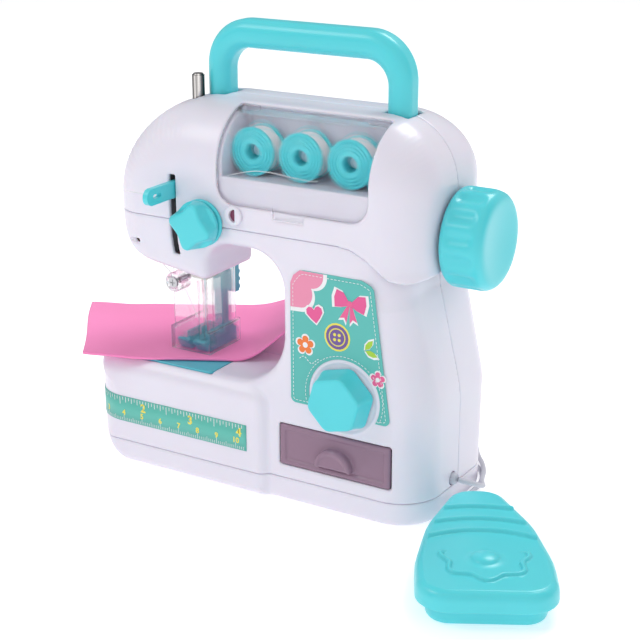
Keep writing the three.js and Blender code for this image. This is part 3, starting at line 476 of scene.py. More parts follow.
def trunk_radius(facing_x, facing_z, X, Y, Z):
    right = np.interp(Z, [0, 20, 92, 108, 140], [19, 19, 15, 22, 22])
    return edge_radius(facing_x, facing_z, right, 15, np.where(Y < 0, 26.0, 28.0), 15)


def bed_radius(facing_x, facing_z, X, Y, Z):
    return edge_radius(facing_x, facing_z, 6, 18, 8, 4)


def trunk_field(X, Y, Z, capped):
    """Column, arm and head: a block with rounded upright corners, less the throat."""
    outline = BLOCK_CAP if capped else BLOCK_LOW
    solid = rounded_prism(outline, -35.0, 35.0, trunk_radius, X, Y, Z)
    solid = both(solid, -Z, 3.0)
    return without(solid, outline_field(THROAT, X, Z), 4.5)


def bed_field(X, Y, Z):
    return rounded_prism(BED_FRONT, -38.0, 35.0, bed_radius, X, Y, Z)


def casing_field(X, Y, Z, capped=False):
    return either(trunk_field(X, Y, Z, capped), bed_field(X, Y, Z), 1.2)


def hollow(field):
    return meet(field, -(field + WALL))


def seam_height(X, Y):
    """The lower edge of the arm cover, which dips at the column's right."""
    dip = np.interp(X, [-100, 44, 50, 57, 62, 66, 72, 90],
                    [116.2, 116.2, 115.4, 112.2, 108.2, 105.0, 103.2, 103.4])
    return dip + np.where(X > 66, (Y + 35) / 35 * 3.4 * np.clip((X - 66) / 12, 0, 1), 0)


def slot_hole(X, Y, Z):
    centre = -35.5 + 1.6 * np.clip((112 - Z) / 11, 0, 1) ** 2
    reach = abs(X - centre) - 1.65
    return meet(reach, abs(Z - 118.4) - 17.1, Y + 20)


def needle_top_hole(X, Y, Z):
    length = np.maximum(abs(Y + 9) - 1.2, 0)
    return meet(np.sqrt((X + 39) ** 2 + length ** 2) - 3.4, 100 - Z)


def handle_foot(X, Y, Z):
    left = block(X, Y, Z, -37.8, -26.7, -7.3, 7.3, 150, 175)
    right = block(X, Y, Z, 48.5, 59.6, -7.3, 7.3, 150, 175)
    return merge(left, right)


def lid_opening(X, Y, Z, margin=0.0):
    """The compartment's opening in the arm cover, with rounded lower corners."""
    outline = rounded([(-13.2, 126.2, 8.5), (57.5, 126.2, 8.5), (57.5, 200, 0), (-13.2, 200, 0)])
    return meet(outline_field(outline, X, Z) + margin, Y + 13.6 + margin)


def latch_notch(X, Y, Z):
    return block(X, Y, Z, 14.2, 28.4, -42, -34.1, 122.9, 130, 0.6)


def needle_mouth(X, Y, Z):
    """The opening under the head that the needle bar and presser bar come through."""
    return block(X, Y, Z, -48, -28, -15, 6, 80, 97.5, 3)


def plate_pocket(X, Y, Z):
    return block(X, Y, Z, -63.3, -18.7, -33.3, 16.3, 48.9, 60)


def shaft_hole(Y, Z):
    return disc(Y, Z, 0, SHAFT_Z, 3.4)


def arm_cover_shape(X, Y, Z):
    solid = hollow(casing_field(X, Y, Z, capped=True))
    solid = both(solid, seam_height(X, Y) + SEAM - Z, 0.25)
    solid = both(solid, Y + SEAM, 0.5)
    for hole, soft in ((lid_opening, 0.7), (latch_notch, 0.5), (slot_hole, 0.3),
                       (needle_top_hole, 0.5), (handle_foot, 0.5)):
        solid = without(solid, hole(X, Y, Z), soft)
    return meet(solid, -shaft_hole(Y, Z))


def front_shell_shape(X, Y, Z):
    solid = hollow(casing_field(X, Y, Z))
    solid = both(solid, Z - (seam_height(X, Y) - SEAM), 0.25)
    solid = both(solid, TRAY_TOP + SEAM - Z, 0.5)
    solid = both(solid, Y + SEAM, 0.5)
    ring = meet(abs(disc(X, Z, DIAL_X, DIAL_Z, 15.5)) - 0.6, abs(Y + 35.0) - 0.45)
    solid = either(solid, ring, 0.6)
    drawer_mouth = block(X, Y, Z, 16.3, 69.3, -50, -30, 16.4, 35.3, 1.0)
    solid = without(solid, drawer_mouth, 1.2)
    solid = without(solid, slot_hole(X, Y, Z), 0.3)
    solid = without(solid, needle_mouth(X, Y, Z), 0.6)
    thread_notch = block(X, Y, Z, -58.6, -53.6, -37, -33.2, 103.4, 105.2, 0.6)
    solid = without(solid, thread_notch, 0.4)
    solid = without(solid, plate_pocket(X, Y, Z), 0.3)
    solid = without(solid, block(X, Y, Z, -45.5, -32.5, -16, -2, 40, 60), 0)
    cord_hole = meet(disc(Y, Z, -5, 13.6, 2.9), 70 - X)
    return meet(solid, -cord_hole)


def rear_shell_shape(X, Y, Z):
    wide, narrow = casing_field(X, Y, Z), casing_field(X, Y, Z, capped=True)
    solid = hollow(merge(meet(wide, Z - 105.2), meet(narrow, 105 - Z)))
    head = block(X, Y, Z, -80, -10, -5, 50, 60, 97)
    solid = meet(solid, -head)
    closing = meet(narrow, X + 19.6, abs(Z - 98) - 1)
    solid = merge(solid, closing)
    solid = both(solid, TRAY_TOP + SEAM - Z, 0.5)
    solid = both(solid, SEAM - Y, 0.5)
    solid = without(solid, handle_foot(X, Y, Z), 0.5)
    solid = without(solid, block(X, Y, Z, -37.6, -32.4, -5, 31.5, 86, 101, 1), 0.4)
    solid = without(solid, plate_pocket(X, Y, Z), 0.3)
    for x, z in ((-55, 24), (30, 128)):
        solid = without(solid, meet(disc(X, Z, x, z, 3.3), 30 - Y), 0.5)
    return meet(solid, -shaft_hole(Y, Z))


def base_tray_shape(X, Y, Z):
    solid = hollow(casing_field(X, Y, Z))
    solid = both(solid, Z - (TRAY_TOP - SEAM), 0.5)
    door = block(X, Y, Z, 19.5, 66.5, -28, 28, -5, 6)
    tongue = block(X, Y, Z, 60, 75, -5, 5, -5, 6)
    return meet(solid, -merge(door, tongue))


def make_casing():
    step = 0.6
    for name, shape, low, high, node in (
        ("arm_cover_shell", arm_cover_shape, (-70, -36, 102), (80, 0, 166), "arm_cover"),
        ("front_casing", front_shell_shape, (-84, -39, 10), (84, 0, 117), "front_shell"),
        ("rear_casing", rear_shell_shape, (-84, 0, 10), (84, 36, 166), "rear_shell"),
        ("base_casing", base_tray_shape, (-84, -39, 0), (84, 36, 11), "base_tray"),
    ):
        made = moulded(name, shape, low, high, step, SHELL, 0.4)
        stands_for(made, "machine", "shell_plastic", node)


# ---------------- handle, wheel and knobs


def handle_shape(X, Y, Z):
    outer = rounded([(-37.5, 150, 0), (59.3, 150, 0), (59.3, 197, 20), (-37.5, 197, 20)])
    inner = rounded([(-27, 140, 0), (48.8, 140, 0), (48.8, 185, 10), (-27, 185, 10)])
    arch = meet(outline_field(outer, X, Z), -outline_field(inner, X, Z))
    spine = np.sqrt(np.maximum(arch + 5.2, 0) ** 2 + np.maximum(abs(Y) - 7 + 5.6, 0) ** 2) - 5.3
    return meet(spine, arch, abs(Y) - 7, 159 - Z)


def wheel_shape(X, Y, Z):
    """The handwheel: shallow scallops round the rim, a soft dished face."""
    radius = np.sqrt(Y ** 2 + (Z - SHAFT_Z) ** 2)
    angle = np.arctan2(Z - SHAFT_Z, Y)
    ends = np.clip((96.0 - X) / 3.0, 0, 1) * np.clip((X - 82.5) / 2.5, 0, 1)
    scallop = 1.15 * ends * (0.5 - 0.5 * np.cos(14 * angle)) ** 1.2
    solid = both(radius - 20.5 + scallop, X - 99.0, 6.5)
    solid = both(solid, 80.4 - X, 3.0)
    dish = np.sqrt((X - 154.0) ** 2 + radius ** 2) - 56.5
    solid = without(solid, dish, 2.5)
    return without(solid, meet(abs(radius - 11) - 6, X - 88), 0.5)


def knob_shape(X, Y, Z):
    """The tension knob: a disc with a four-cornered grip that flares back to it."""
    U, V = X - KNOB_X, Z - KNOB_Z
    radius = disc(U, V, 0, 0, 0)
    plate = both(radius - 10, abs(Y + 39.3) - 0.9, 0.6)
    flare = np.clip((Y + 46) / 6, 0, 1)
    reach = polygon(U, V, [radians(32 + 90 * i) for i in range(4)], 1.0)
    waist = 0.5 * np.cos(4 * (np.arctan2(V, U) - radians(32)))
    grip = both(reach - (7.6 + 1.6 * flare ** 2) + waist, radius - 10.2, 0.8)
    grip = both(grip, abs(Y + 42.9) - 3.1, 1.6)
    neck = meet(radius - 4, abs(Y + 38.2) - 1)
    return either(either(plate, grip, 0.8), neck)


def stud_shape(X, Y, Z):
    radius = disc(X, Z, KNOB_X, KNOB_Z, 0)
    plate = both(radius - 10, abs(Y + 36.15) - 0.85, 0.6)
    return merge(plate, meet(radius - 2, abs(Y + 33.5) - 2.4))


def dial_shape(X, Y, Z):
    """A six-sided dial whose sides flare towards the casing."""
    flare = np.clip((Y + 45) / 9.6, 0, 1)
    size = 12.6 + 1.4 * flare + 1.2 * flare ** 3
    angles = [0.24 + pi / 6 + i * pi / 3 for i in range(6)]
    reach = polygon(X - DIAL_X, Z - DIAL_Z, angles, 2.2)
    solid = both(reach - size * cos(pi / 6), abs(Y + 40.3) - 4.7, 1.1)
    return merge(solid, meet(disc(X, Z, DIAL_X, DIAL_Z, 2.9), abs(Y + 34) - 1.9))


def make_turned_parts():
    fine = 0.35
    low, high = (-30.1, -46.2, 107.2), (-9.9, -37, 127.4)
    stud_low, stud_high = (-30.1, -37.2, 107.2), (-9.9, -31, 127.4)
    mould_all(TURQUOISE, "turquoise_plastic", (
        ("handle", handle_shape, (-38, -7, 159), (60, 7, 197), 0.6, 0.5, "machine", "carry_handle"),
        ("wheel", wheel_shape, (80, -21, 97), (99, 21, 138.2), 0.45, 0.5, "main_shaft", "handwheel"),
        ("knob", knob_shape, low, high, fine, 0.6, "tension_knob", "tension_knob"),
        ("knob_stud", stud_shape, stud_low, stud_high, fine, 0.6, "machine", "tension_stud"),
        ("dial", dial_shape, (32, -45.2, 37), (64, -32, 69), fine, 0.6, "dial", "dial_knob"),
    ))


# ---------------- compartment and drawer

LID_HINGE_Y, LID_HINGE_Z = -15.6, 163.1
TRAY_X = 22.15
SPOOL_X = (-1.5, 21.25, 44.0)
SPOOL_Y, SPOOL_Z = -20.2, 147.2
THREAD_TURNS = 17


def lid_shape(X, Y, Z):
    solid = casing_field(X, Y, Z, capped=True)
    solid = meet(solid, -(solid + 1.5))
    solid = both(solid, lid_opening(X, Y, Z, 0.2), 0.5)
    solid = meet(solid, Y + 15.6)
    tab = block(X, Y, Z, 14.6, 28, -36.4, -33.5, 123.3, 129, 0.6)
    ends = merge(abs(X + 8.4) - 4.4, abs(X - 52.7) - 4.4)
    knuckles = meet(disc(Y, Z, LID_HINGE_Y, LID_HINGE_Z, 1.4), ends)
    return either(either(solid, tab, 0.6), knuckles, 0.6)


def tray_shape(X, Y, Z):
    inner = casing_field(X, Y, Z, capped=True) + 2.2
    floor = meet(abs(Z - 136) - 0.8, abs(Y + 20.8) - 11.8)
    lip = meet(abs(Y + 31.8) - 0.8, abs(Z - 131.2) - 6.2)
    back = meet(abs(Y + 10) - 1, abs(Z - 149) - 14)
    across = abs(X - TRAY_X)
    sides = meet(across - 36.6, -(across - 34.2), 135.2 - Z, abs(Y + 20.8) - 11.8)
    solid = either(either(floor, lip, 0.5), either(back, sides, 0.5), 0.8)
    solid = meet(solid, across - 36.6, inner)
    solid = without(solid, disc(Y, Z, LID_HINGE_Y, LID_HINGE_Z, 2.4))
    for x in SPOOL_X:
        solid = merge(solid, both(disc(X, Z, x, SPOOL_Z, 2.6), abs(Y + 15.4) - 5.4, 0.8))
    return solid


def bobbin_shape(X, Y, Z):
    radius = np.sqrt(X ** 2 + Z ** 2)
    hub = meet(radius - 4.8, abs(Y) - 5.2)
    rims = both(radius - 10.1, abs(abs(Y) - 4.4) - 0.8, 0.5)
    solid = merge(hub, rims)
    for groove in (8.7, 7.3, 5.9):
        solid = without(solid, meet(abs(radius - groove) - 0.3, 4.7 - abs(Y)), 0.2)
    return without(solid, radius - 3.2, 0.6)


def thread_line(x):
    """One thread wound round the bobbin at x in neat layers."""
    points = []
    for i in range(THREAD_TURNS * 20):
        turn = i / 20
        angle = 2 * pi * turn
        along = -3.2 + 6.4 * turn / THREAD_TURNS
        points.append((9.15 * cos(angle) + x, along + SPOOL_Y, 9.15 * sin(angle) + SPOOL_Z))
    return points


def wire(name, points, thickness, finish):
    """A thin strand along points in millimetres."""
    made = tube(name, np.array(points, float) * MM, thickness, 2)
    made.data.materials.append(finish)
    return made


def drawer_shape(X, Y, Z):
    face = block(X, Y, Z, 16.6, 69, -35, -32.2, 16.7, 35, 0.8)
    recess = block(X, Y, Z, 19.4, 66.2, -40, -34.2, 19.2, 32.6, 0.6)
    face = without(face, recess, 0.9)
    pull = both(disc(X, Z, 43.2, 20.2, 8.8), 20.2 - Z, 1.0)
    pull = both(pull, abs(Y + 35.7) - 2.2, 1.6)
    pull = without(pull, both(disc(X, Z, 43.2, 20.2, 6.6), abs(Y + 38.6) - 1.6, 1.2), 1.0)
    tub = meet(block(X, Y, Z, 18.1, 67.5, -32.4, -10, 17.4, 33.8, 1),
                     -block(X, Y, Z, 19.3, 66.3, -32.2, -11.2, 18.8, 50, 1))
    return merge(either(face, pull, 0.4), tub)


def make_compartment():
    tray_low, tray_high = (-15.2, -33, 124.4), (59.6, -8.5, 164)
    mould_all(CLEAR, "clear_plastic", (
        ("lid", lid_shape, (-14, -37, 123), (58, -13, 166), 0.5, 0.5, "spool_lid", "spool_lid"),
    ))
    mould_all(SHELL, "shell_plastic", (
        ("bobbin_tray", tray_shape, tray_low, tray_high, 0.5, 0.4, "machine", "spool_tray"),
    ))
    for i, x in enumerate(SPOOL_X, 1):
        low, high = (-10.2, -5.2, -10.2), (10.2, 5.2, 10.2)
        spool = moulded(f"spool_{i}", bobbin_shape, low, high, 0.28, TURQUOISE, 0.8)
        shift(spool, (x, SPOOL_Y, SPOOL_Z))
        stands_for(spool, f"bobbin_{i}", "turquoise_plastic", f"bobbin_{i}")
        winding = wire(f"wound_thread_{i}", thread_line(x), 0.55, THREAD)
        stands_for(winding, f"bobbin_{i}", "thread")
        paint(f"thread_winding_{i}", THREAD)
    mould_all(SMOKY, "smoky_plastic", (
        ("drawer_box", drawer_shape, (16, -39, 16), (70, -9.5, 36), 0.4, 0.5, "drawer", "drawer"),
    ))


def shift(made, offset):
    """Moves a mesh's points by an offset in millimetres."""
    made.data.transform(Matrix.Translation(Vector(offset) * MM))


def soften(made, width, segments):
    soft = made.modifiers.new("edges", "BEVEL")
    soft.width = width * MM
    soft.segments = segments
    soft.limit_method = "ANGLE"
    return soft


def paint(node, finish, bevel=0.0, smooth=True):
    """Gives a CAD node its finish, and softens its edges."""
    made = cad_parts[node]
    made.data.materials.clear()
    made.data.materials.append(finish)
    if bevel:
        soft = soften(made, bevel, 3)
        soft.angle_limit = radians(35)
        soft.harden_normals = True
    made.data.polygons.foreach_set("use_smooth", [smooth] * len(made.data.polygons))


# ---------------- pedal

PEDAL_TURN = radians(28.4)
PEDAL_CENTRE = (118.1, -50.5)
PEDAL_HALF = 44.2
PEDAL_PLAN = rounded([
    (-26.6, -PEDAL_HALF, 13), (26.6, -PEDAL_HALF, 13), (26.6, -16, 60), (21.6, 13, 60),
    (9.2, PEDAL_HALF, 11), (-9.2, PEDAL_HALF, 11), (-21.6, 13, 60), (-26.6, -16, 60),
])


def pedal_axes(X, Y):
    """Coordinates across and along the pedal, the narrow end at positive along."""
    c, s = cos(PEDAL_TURN), sin(PEDAL_TURN)
    dx, dy = X - PEDAL_CENTRE[0], Y - PEDAL_CENTRE[1]
    return dx * c + dy * s, -dx * s + dy * c


def pedal_relief(A, B):
    """Height of the ribs, the flower line and the button on the pedal's top."""
    height = np.zeros(np.broadcast_shapes(A.shape, B.shape), np.float32)
    for along, half, bow in ((26.3, 13.2, 0.010), (15.6, 17.0, 0.011), (5.6, 20.4, 0.0135)):
        line = B - (along - bow * A ** 2)
        past = np.maximum(abs(A) - half, 0)
        distance = np.sqrt(line ** 2 + past ** 2) / 1.15
        height = np.maximum(height, 1.6 * np.sqrt(np.clip(1 - distance ** 2, 0, 1)))
    radius = np.sqrt(A ** 2 + ((B + 17.4) * 1.02) ** 2)
    angle = np.arctan2(A, -(B + 17.4))
    petal = 15.4 + 1.5 * np.cos(7.0 * angle)
    shown = np.clip((2.0 - abs(angle)) * 5, 0, 1)
    ring = abs(radius - petal) / 1.1
    height = np.maximum(height, 1.4 * shown * np.sqrt(np.clip(1 - ring ** 2, 0, 1)))
    button = 2.3 * np.sqrt(np.clip(1 - (radius / 5.6) ** 2, 0, 1))
    skirt = 0.5 * np.clip((8.5 - radius) / 3, 0, 1) ** 2
    return np.maximum(height, np.maximum(button, skirt))


def pedal_top_shape(X, Y, Z):
    A, B = pedal_axes(X, Y)
    plan = outline_field(PEDAL_PLAN, A, B)
    crown = 15.3
    solid = both(plan + 0.05 * np.clip(Z - 7, 0, 9), Z - crown, 4.2)
    relief = meet(Z - crown - pedal_relief(A, B), plan + 3.0, 13.0 - Z)
    solid = merge(solid, relief)
    solid = both(solid, 7.2 - Z, 0.8)
    inside = meet(plan + 1.9, Z - 13.2)
    return without(solid, inside, 0.3)


def pedal_base_shape(X, Y, Z):
    A, B = pedal_axes(X, Y)
    plan = outline_field(PEDAL_PLAN, A, B) + 3.2
    lean = np.clip((8 - Z) / 8, 0, 1) ** 1.5 * 1.4
    solid = both(plan + lean, abs(Z - 4.0) - 4.0, 2.0)
    inside = meet(plan + 2.0 + lean, 2.0 - Z)
    return without(solid, inside, 0.3)


def make_pedal():
    step = 0.42
    low, high = (88, -106, 6.5), (168, -4, 18.6)
    foot_low, foot_high = (88, -106, 0), (168, -4, 8.4)
    mould_all(TURQUOISE, "turquoise_plastic", (
        ("pedal_cover", pedal_top_shape, low, high, step, 0.9, "pedal_top", "pedal_top"),
        ("pedal_foot", pedal_base_shape, foot_low, foot_high, step, 0.5, "machine", "pedal_base"),
    ))


# ---------------- guard and thread

EYE_Z = 122.3
STRAND = 0.32


def guard_shape(X, Y, Z):
    skirt = meet(block(X, Y, Z, -49, -28, -21, 3.4, 52.2, 63, 0.5),
                       -block(X, Y, Z, -47.8, -29.2, -19.8, 10, 40, 70))
    shelf = meet(block(X, Y, Z, -49, -28, -21, 3.4, 61.8, 63, 0.4),
                       -block(X, Y, Z, -46.8, -30.6, -19.8, 10, 40, 70))
    panel = block(X, Y, Z, -46.8, -29.4, -21, -19.8, 62.5, 91.2, 0.3)
    side = block(X, Y, Z, -30.6, -29.4, -21, 2, 62.5, 91.2, 0.3)
    boss = both(disc(X, Z, -41, 86, 4.3), abs(Y + 24.9) - 4.1, 0.8)
    solid = merge(skirt, shelf, panel, side, boss)
    solid = without(solid, meet(disc(X, Z, -41, 86, 1.3), Y + 17), 0.2)
    return without(solid, meet(disc(X, Z, -41, 86, 2.7), Y + 27.6), 0.3)


def eye_shape(X, Y, Z):
    """The raised ring of the thread eye, with a half-round opening."""
    radius = disc(X, Z, -4.7, EYE_Z, 0)
    solid = both(radius - 4.3, abs(Y + 35.6) - 0.8, 0.9)
    opening = meet(disc(X, Z, -3.7, EYE_Z, 2.7), X + 3.5)
    return without(solid, meet(opening, Y + 34.95), 0.3)


def make_thread_path():
    """The thread eye, a patch of painted shade in its opening, plates of painted shade lining the lever slot,
    and the thread itself.
    """
    mould_all(SHELL, "shell_plastic", (
        ("eye_ring", eye_shape, (-9.3, -36.6, 118), (-0.2, -34.6, 127), 0.25, 0.6, "machine", "thread_eye"),
    ))
    # A dark patch set in the eye's half-round opening: painted shade for the hole.
    angles = np.linspace(pi / 2, 1.5 * pi, 16)
    arc = arc_points(-3.7, EYE_Z, 2.6, angles)
    stands_for(flat_patch("eye_opening", arc, -35.15, OPENING_SHADE, 0.4), "machine", "dark_plastic")
    # Grey plates along the lever slot's walls: painted shade for the shaded inside seen through the slot.
    spans = ((-38.4, -37.9), (-32.9, -32.4))
    shade_plates = upright_plates("slot_shade_plates", spans, (-33.2, -21.0), (100.0, 137.5))
    stands_for(shade_plates, "machine", "dark_plastic")
    upper = [(-50.4, -47.2, 129.4), (-47.5, -44.5, 128.4), (-42, -40, 126.9), (-35.4, -34.2, 125.2)]
    stands_for(wire("lever_thread", upper, STRAND, THREAD), "needle_bar", "thread")
    lower = [(-56, -34.6, 103.6), (-54.6, -33, 100), (-50, -24.5, 92.5), (-45, -14, 78), (-39.6, -9.8, 60)]
    stands_for(wire("needle_thread", lower, STRAND, THREAD), "machine", "thread")
    loose = [(-10.5, -29.6, 137.1), (-6, -29.9, 138.6), (2, -30.2, 140.6), (10, -30, 141), (18, -29.4, 140.2),
             (26, -28.8, 139.4), (31, -28.2, 139.5)]
    stands_for(wire("bobbin_thread", smooth_route(loose, 6), 0.3, THREAD), "machine", "thread")


def upright_plates(name, spans, depth, heights):
    """Thin upright plates between two depths, one for each span of x, in the grey of painted shade."""
    def shape(X, Y, Z):
        return merge(*[block(X, Y, Z, *span, *depth, *heights, 0.2) for span in spans])
    low = (spans[0][0], depth[0], heights[0])
    high = (spans[-1][1], depth[1], heights[1])
    return moulded(name, shape, low, high, 0.4, SLOT_PAINTED_SHADE, 0.6)


def make_needle_area():
    mould_all(GUARD, "clear_plastic", (
        ("guard", guard_shape, (-49.5, -29.5, 52), (-27.5, 4, 92), 0.35, 0.5, "machine", "needle_guard"),
    ))


# ---------------- cloth


CLOTH_TURN = 0.494
CLOTH_START = (-28.2, -23.4)
CLOTH_LEFT, CLOTH_RIGHT, CLOTH_WIDTH = -54.5, 42.0, 74.0
CLOTH_SKEW = -10.0


def cloth_height(s, t):
    """Height of the felt over the bed: level under the foot, climbing towards the column."""
    left = 0.0026 * np.maximum(-s - 22, 0) ** 2 * (1.0 - t / CLOTH_WIDTH)
    climb = 0.027 * np.minimum(np.maximum(s - 12, 0), 14) ** 2 + 0.75 * np.maximum(s - 26, 0)
    climb = climb * (1.2 - 0.85 * t / CLOTH_WIDTH)
    ripple = 0.5 * np.sin(s * 0.13 + t * 0.05) * np.clip((abs(s + 6) - 26) / 14, 0, 1)
    return 51.2 + left + climb + ripple


def make_cloth():
    rows, columns = 60, 110
    share, across = np.meshgrid(np.linspace(0, 1, columns), np.linspace(0, CLOTH_WIDTH, rows))
    start = CLOTH_LEFT + CLOTH_SKEW * across / CLOTH_WIDTH + 0.4 * np.sin(across * 0.09)
    S = start + (CLOTH_RIGHT - start) * share
    H = cloth_height(S, across)
    T = across + 0.5 * np.sin(S * 0.09) * (across / CLOTH_WIDTH - 0.5)
    X = CLOTH_START[0] + S * cos(CLOTH_TURN) - T * sin(CLOTH_TURN)
    Y = CLOTH_START[1] + S * sin(CLOTH_TURN) + T * cos(CLOTH_TURN)
    vertices = np.stack([X, Y, H], axis=-1).reshape(-1, 3) * MM
    index = np.arange(rows * columns).reshape(rows, columns)
    ring = [index[:-1, :-1], index[:-1, 1:], index[1:, 1:], index[1:, :-1]]
    faces = np.stack(ring, axis=-1).reshape(-1, 4).tolist()
    cloth = mesh_object("felt_cloth", vertices, faces, FELT)
    thick = cloth.modifiers.new("thickness", "SOLIDIFY")
    thick.thickness = 1.1 * MM
    thick.offset = 0.0
    apply_modifiers(cloth)
    stands_for(cloth, "machine", "felt", "practice_cloth")


# ---------------- label and ruler


def flat_patch(name, outline, depth, finish, thickness=0.3):
    """A thin film on the column's front, its outline in x and z."""
    count = len(outline)
    vertices = np.array([(x, y, z) for y in (depth, depth + thickness) for x, z in outline])
    faces = [list(range(count)), list(range(2 * count - 1, count - 1, -1))]
    faces += [[i, i + count, (i + 1) % count + count, (i + 1) % count] for i in range(count)]
    made = mesh_object(name, vertices * MM, faces, finish, False)
    soften(made, 0.08, 2)
    return made


def label_outline():
    """The printed label's edge: cut out round the dial, a small rounded foot at its left."""
    radius = 16.6
    left, right = 46.3 - DIAL_Z, 44.6 - DIAL_Z
    start = atan2(left, -sqrt(radius ** 2 - left ** 2)) % (2 * pi)
    end = atan2(right, sqrt(radius ** 2 - right ** 2)) % (2 * pi)
    arc = []
    for k in range(41):
        angle = start + (end - 2 * pi - start) * k / 40
        arc.append((DIAL_X + radius * cos(angle), DIAL_Z + radius * sin(angle), 0))
    corners = [(22.5, 46.3, 2.5)] + arc
    corners += [(69.2, 44.6, 2.5), (60.9, 101.9, 3), (55.5, 104.2, 4), (27, 104.2, 5), (22.4, 98.6, 3)]
    return rounded(corners, radians(10))


LABEL_Y = -35.3
BUTTON = (44.6, 78.6)


def art(name, outline, layer, finish):
    """A printed shape on the label; a higher layer lies over a lower one."""
    patch = flat_patch(name, outline, LABEL_Y - 0.06 * layer, finish, 0.05)
    stands_for(patch, "machine", "teal_plastic")


def petals(x, z, radius, count, depth, turn):
    """A flower outline."""
    points = []
    for k in range(count * 10):
        angle = 2 * pi * k / (count * 10) + turn
        reach = radius * (1 - depth + depth * abs(cos(count * (angle - turn) / 2)) ** 0.6)
        points.append((x + reach * cos(angle), z + reach * sin(angle)))
    return points


def arc_points(x, z, radius, angles):
    return [(x + radius * cos(a), z + radius * sin(a)) for a in angles]


def round_dot(x, z, radius):
    return arc_points(x, z, radius, np.linspace(0, 2 * pi, 20)[:-1])


def turned(points, x, z, size, angle):
    c, s = cos(angle), sin(angle)
    return [(x + size * (c * u - s * v), z + size * (s * u + c * v)) for u, v in points]


def stitches(name, points, every=1.7, dash=1.05, width=0.24):
    """Short printed dashes along a line."""
    line = np.array(points, float)
    lengths = np.concatenate([[0], np.cumsum(np.linalg.norm(np.diff(line, axis=0), axis=1))])
    vertices, faces = [], []
    for start in np.arange(0, lengths[-1] - dash, every):
        spots = (start, start + dash)
        ends = [np.array([np.interp(d, lengths, line[:, k]) for k in (0, 1)]) for d in spots]
        along = (ends[1] - ends[0]) / np.linalg.norm(ends[1] - ends[0])
        side = np.array([-along[1], along[0]]) * width / 2
        first = len(vertices)
        for corner in (ends[0] - side, ends[1] - side, ends[1] + side, ends[0] + side):
            vertices.append((corner[0], -35.62, corner[1]))
        faces.append((first, first + 1, first + 2, first + 3))
    made = mesh_object(name, np.array(vertices) * MM, faces, WHITE, False)
    return stands_for(made, "machine", "white_plastic")


def inner_line(outline, distance):
    """The outline moved inwards by a distance."""
    points = np.array(outline)
    ahead, behind = np.roll(points, -1, axis=0), np.roll(points, 1, axis=0)
    along = ahead - behind
    along /= np.maximum(np.linalg.norm(along, axis=1), 1e-9)[:, None]
    area = np.sum(points[:, 0] * ahead[:, 1] - ahead[:, 0] * points[:, 1])
    normal = np.stack([-along[:, 1], along[:, 0]], axis=1) * (1 if area > 0 else -1)
    return points + normal * distance


HEART = [(0, -1), (0.55, -0.45), (1, 0.15), (0.95, 0.65), (0.6, 0.9), (0.25, 0.82), (0, 0.5),
         (-0.25, 0.82), (-0.6, 0.9), (-0.95, 0.65), (-1, 0.15), (-0.55, -0.45)]
BOW_WING = [(0.12, 0.16), (0.5, 0.62), (1.0, 0.72), (1.12, 0.2), (1.02, -0.42), (0.5, -0.3),
            (0.12, -0.14)]
BOW_TAIL = [(0.0, -0.1), (0.2, -0.2), (0.62, -1.05), (0.3, -0.95), (0.12, -1.25)]
LEAF = [(0, 0), (0.5, 0.32), (1.1, 0.3), (1.6, 0), (1.1, -0.3), (0.5, -0.32)]


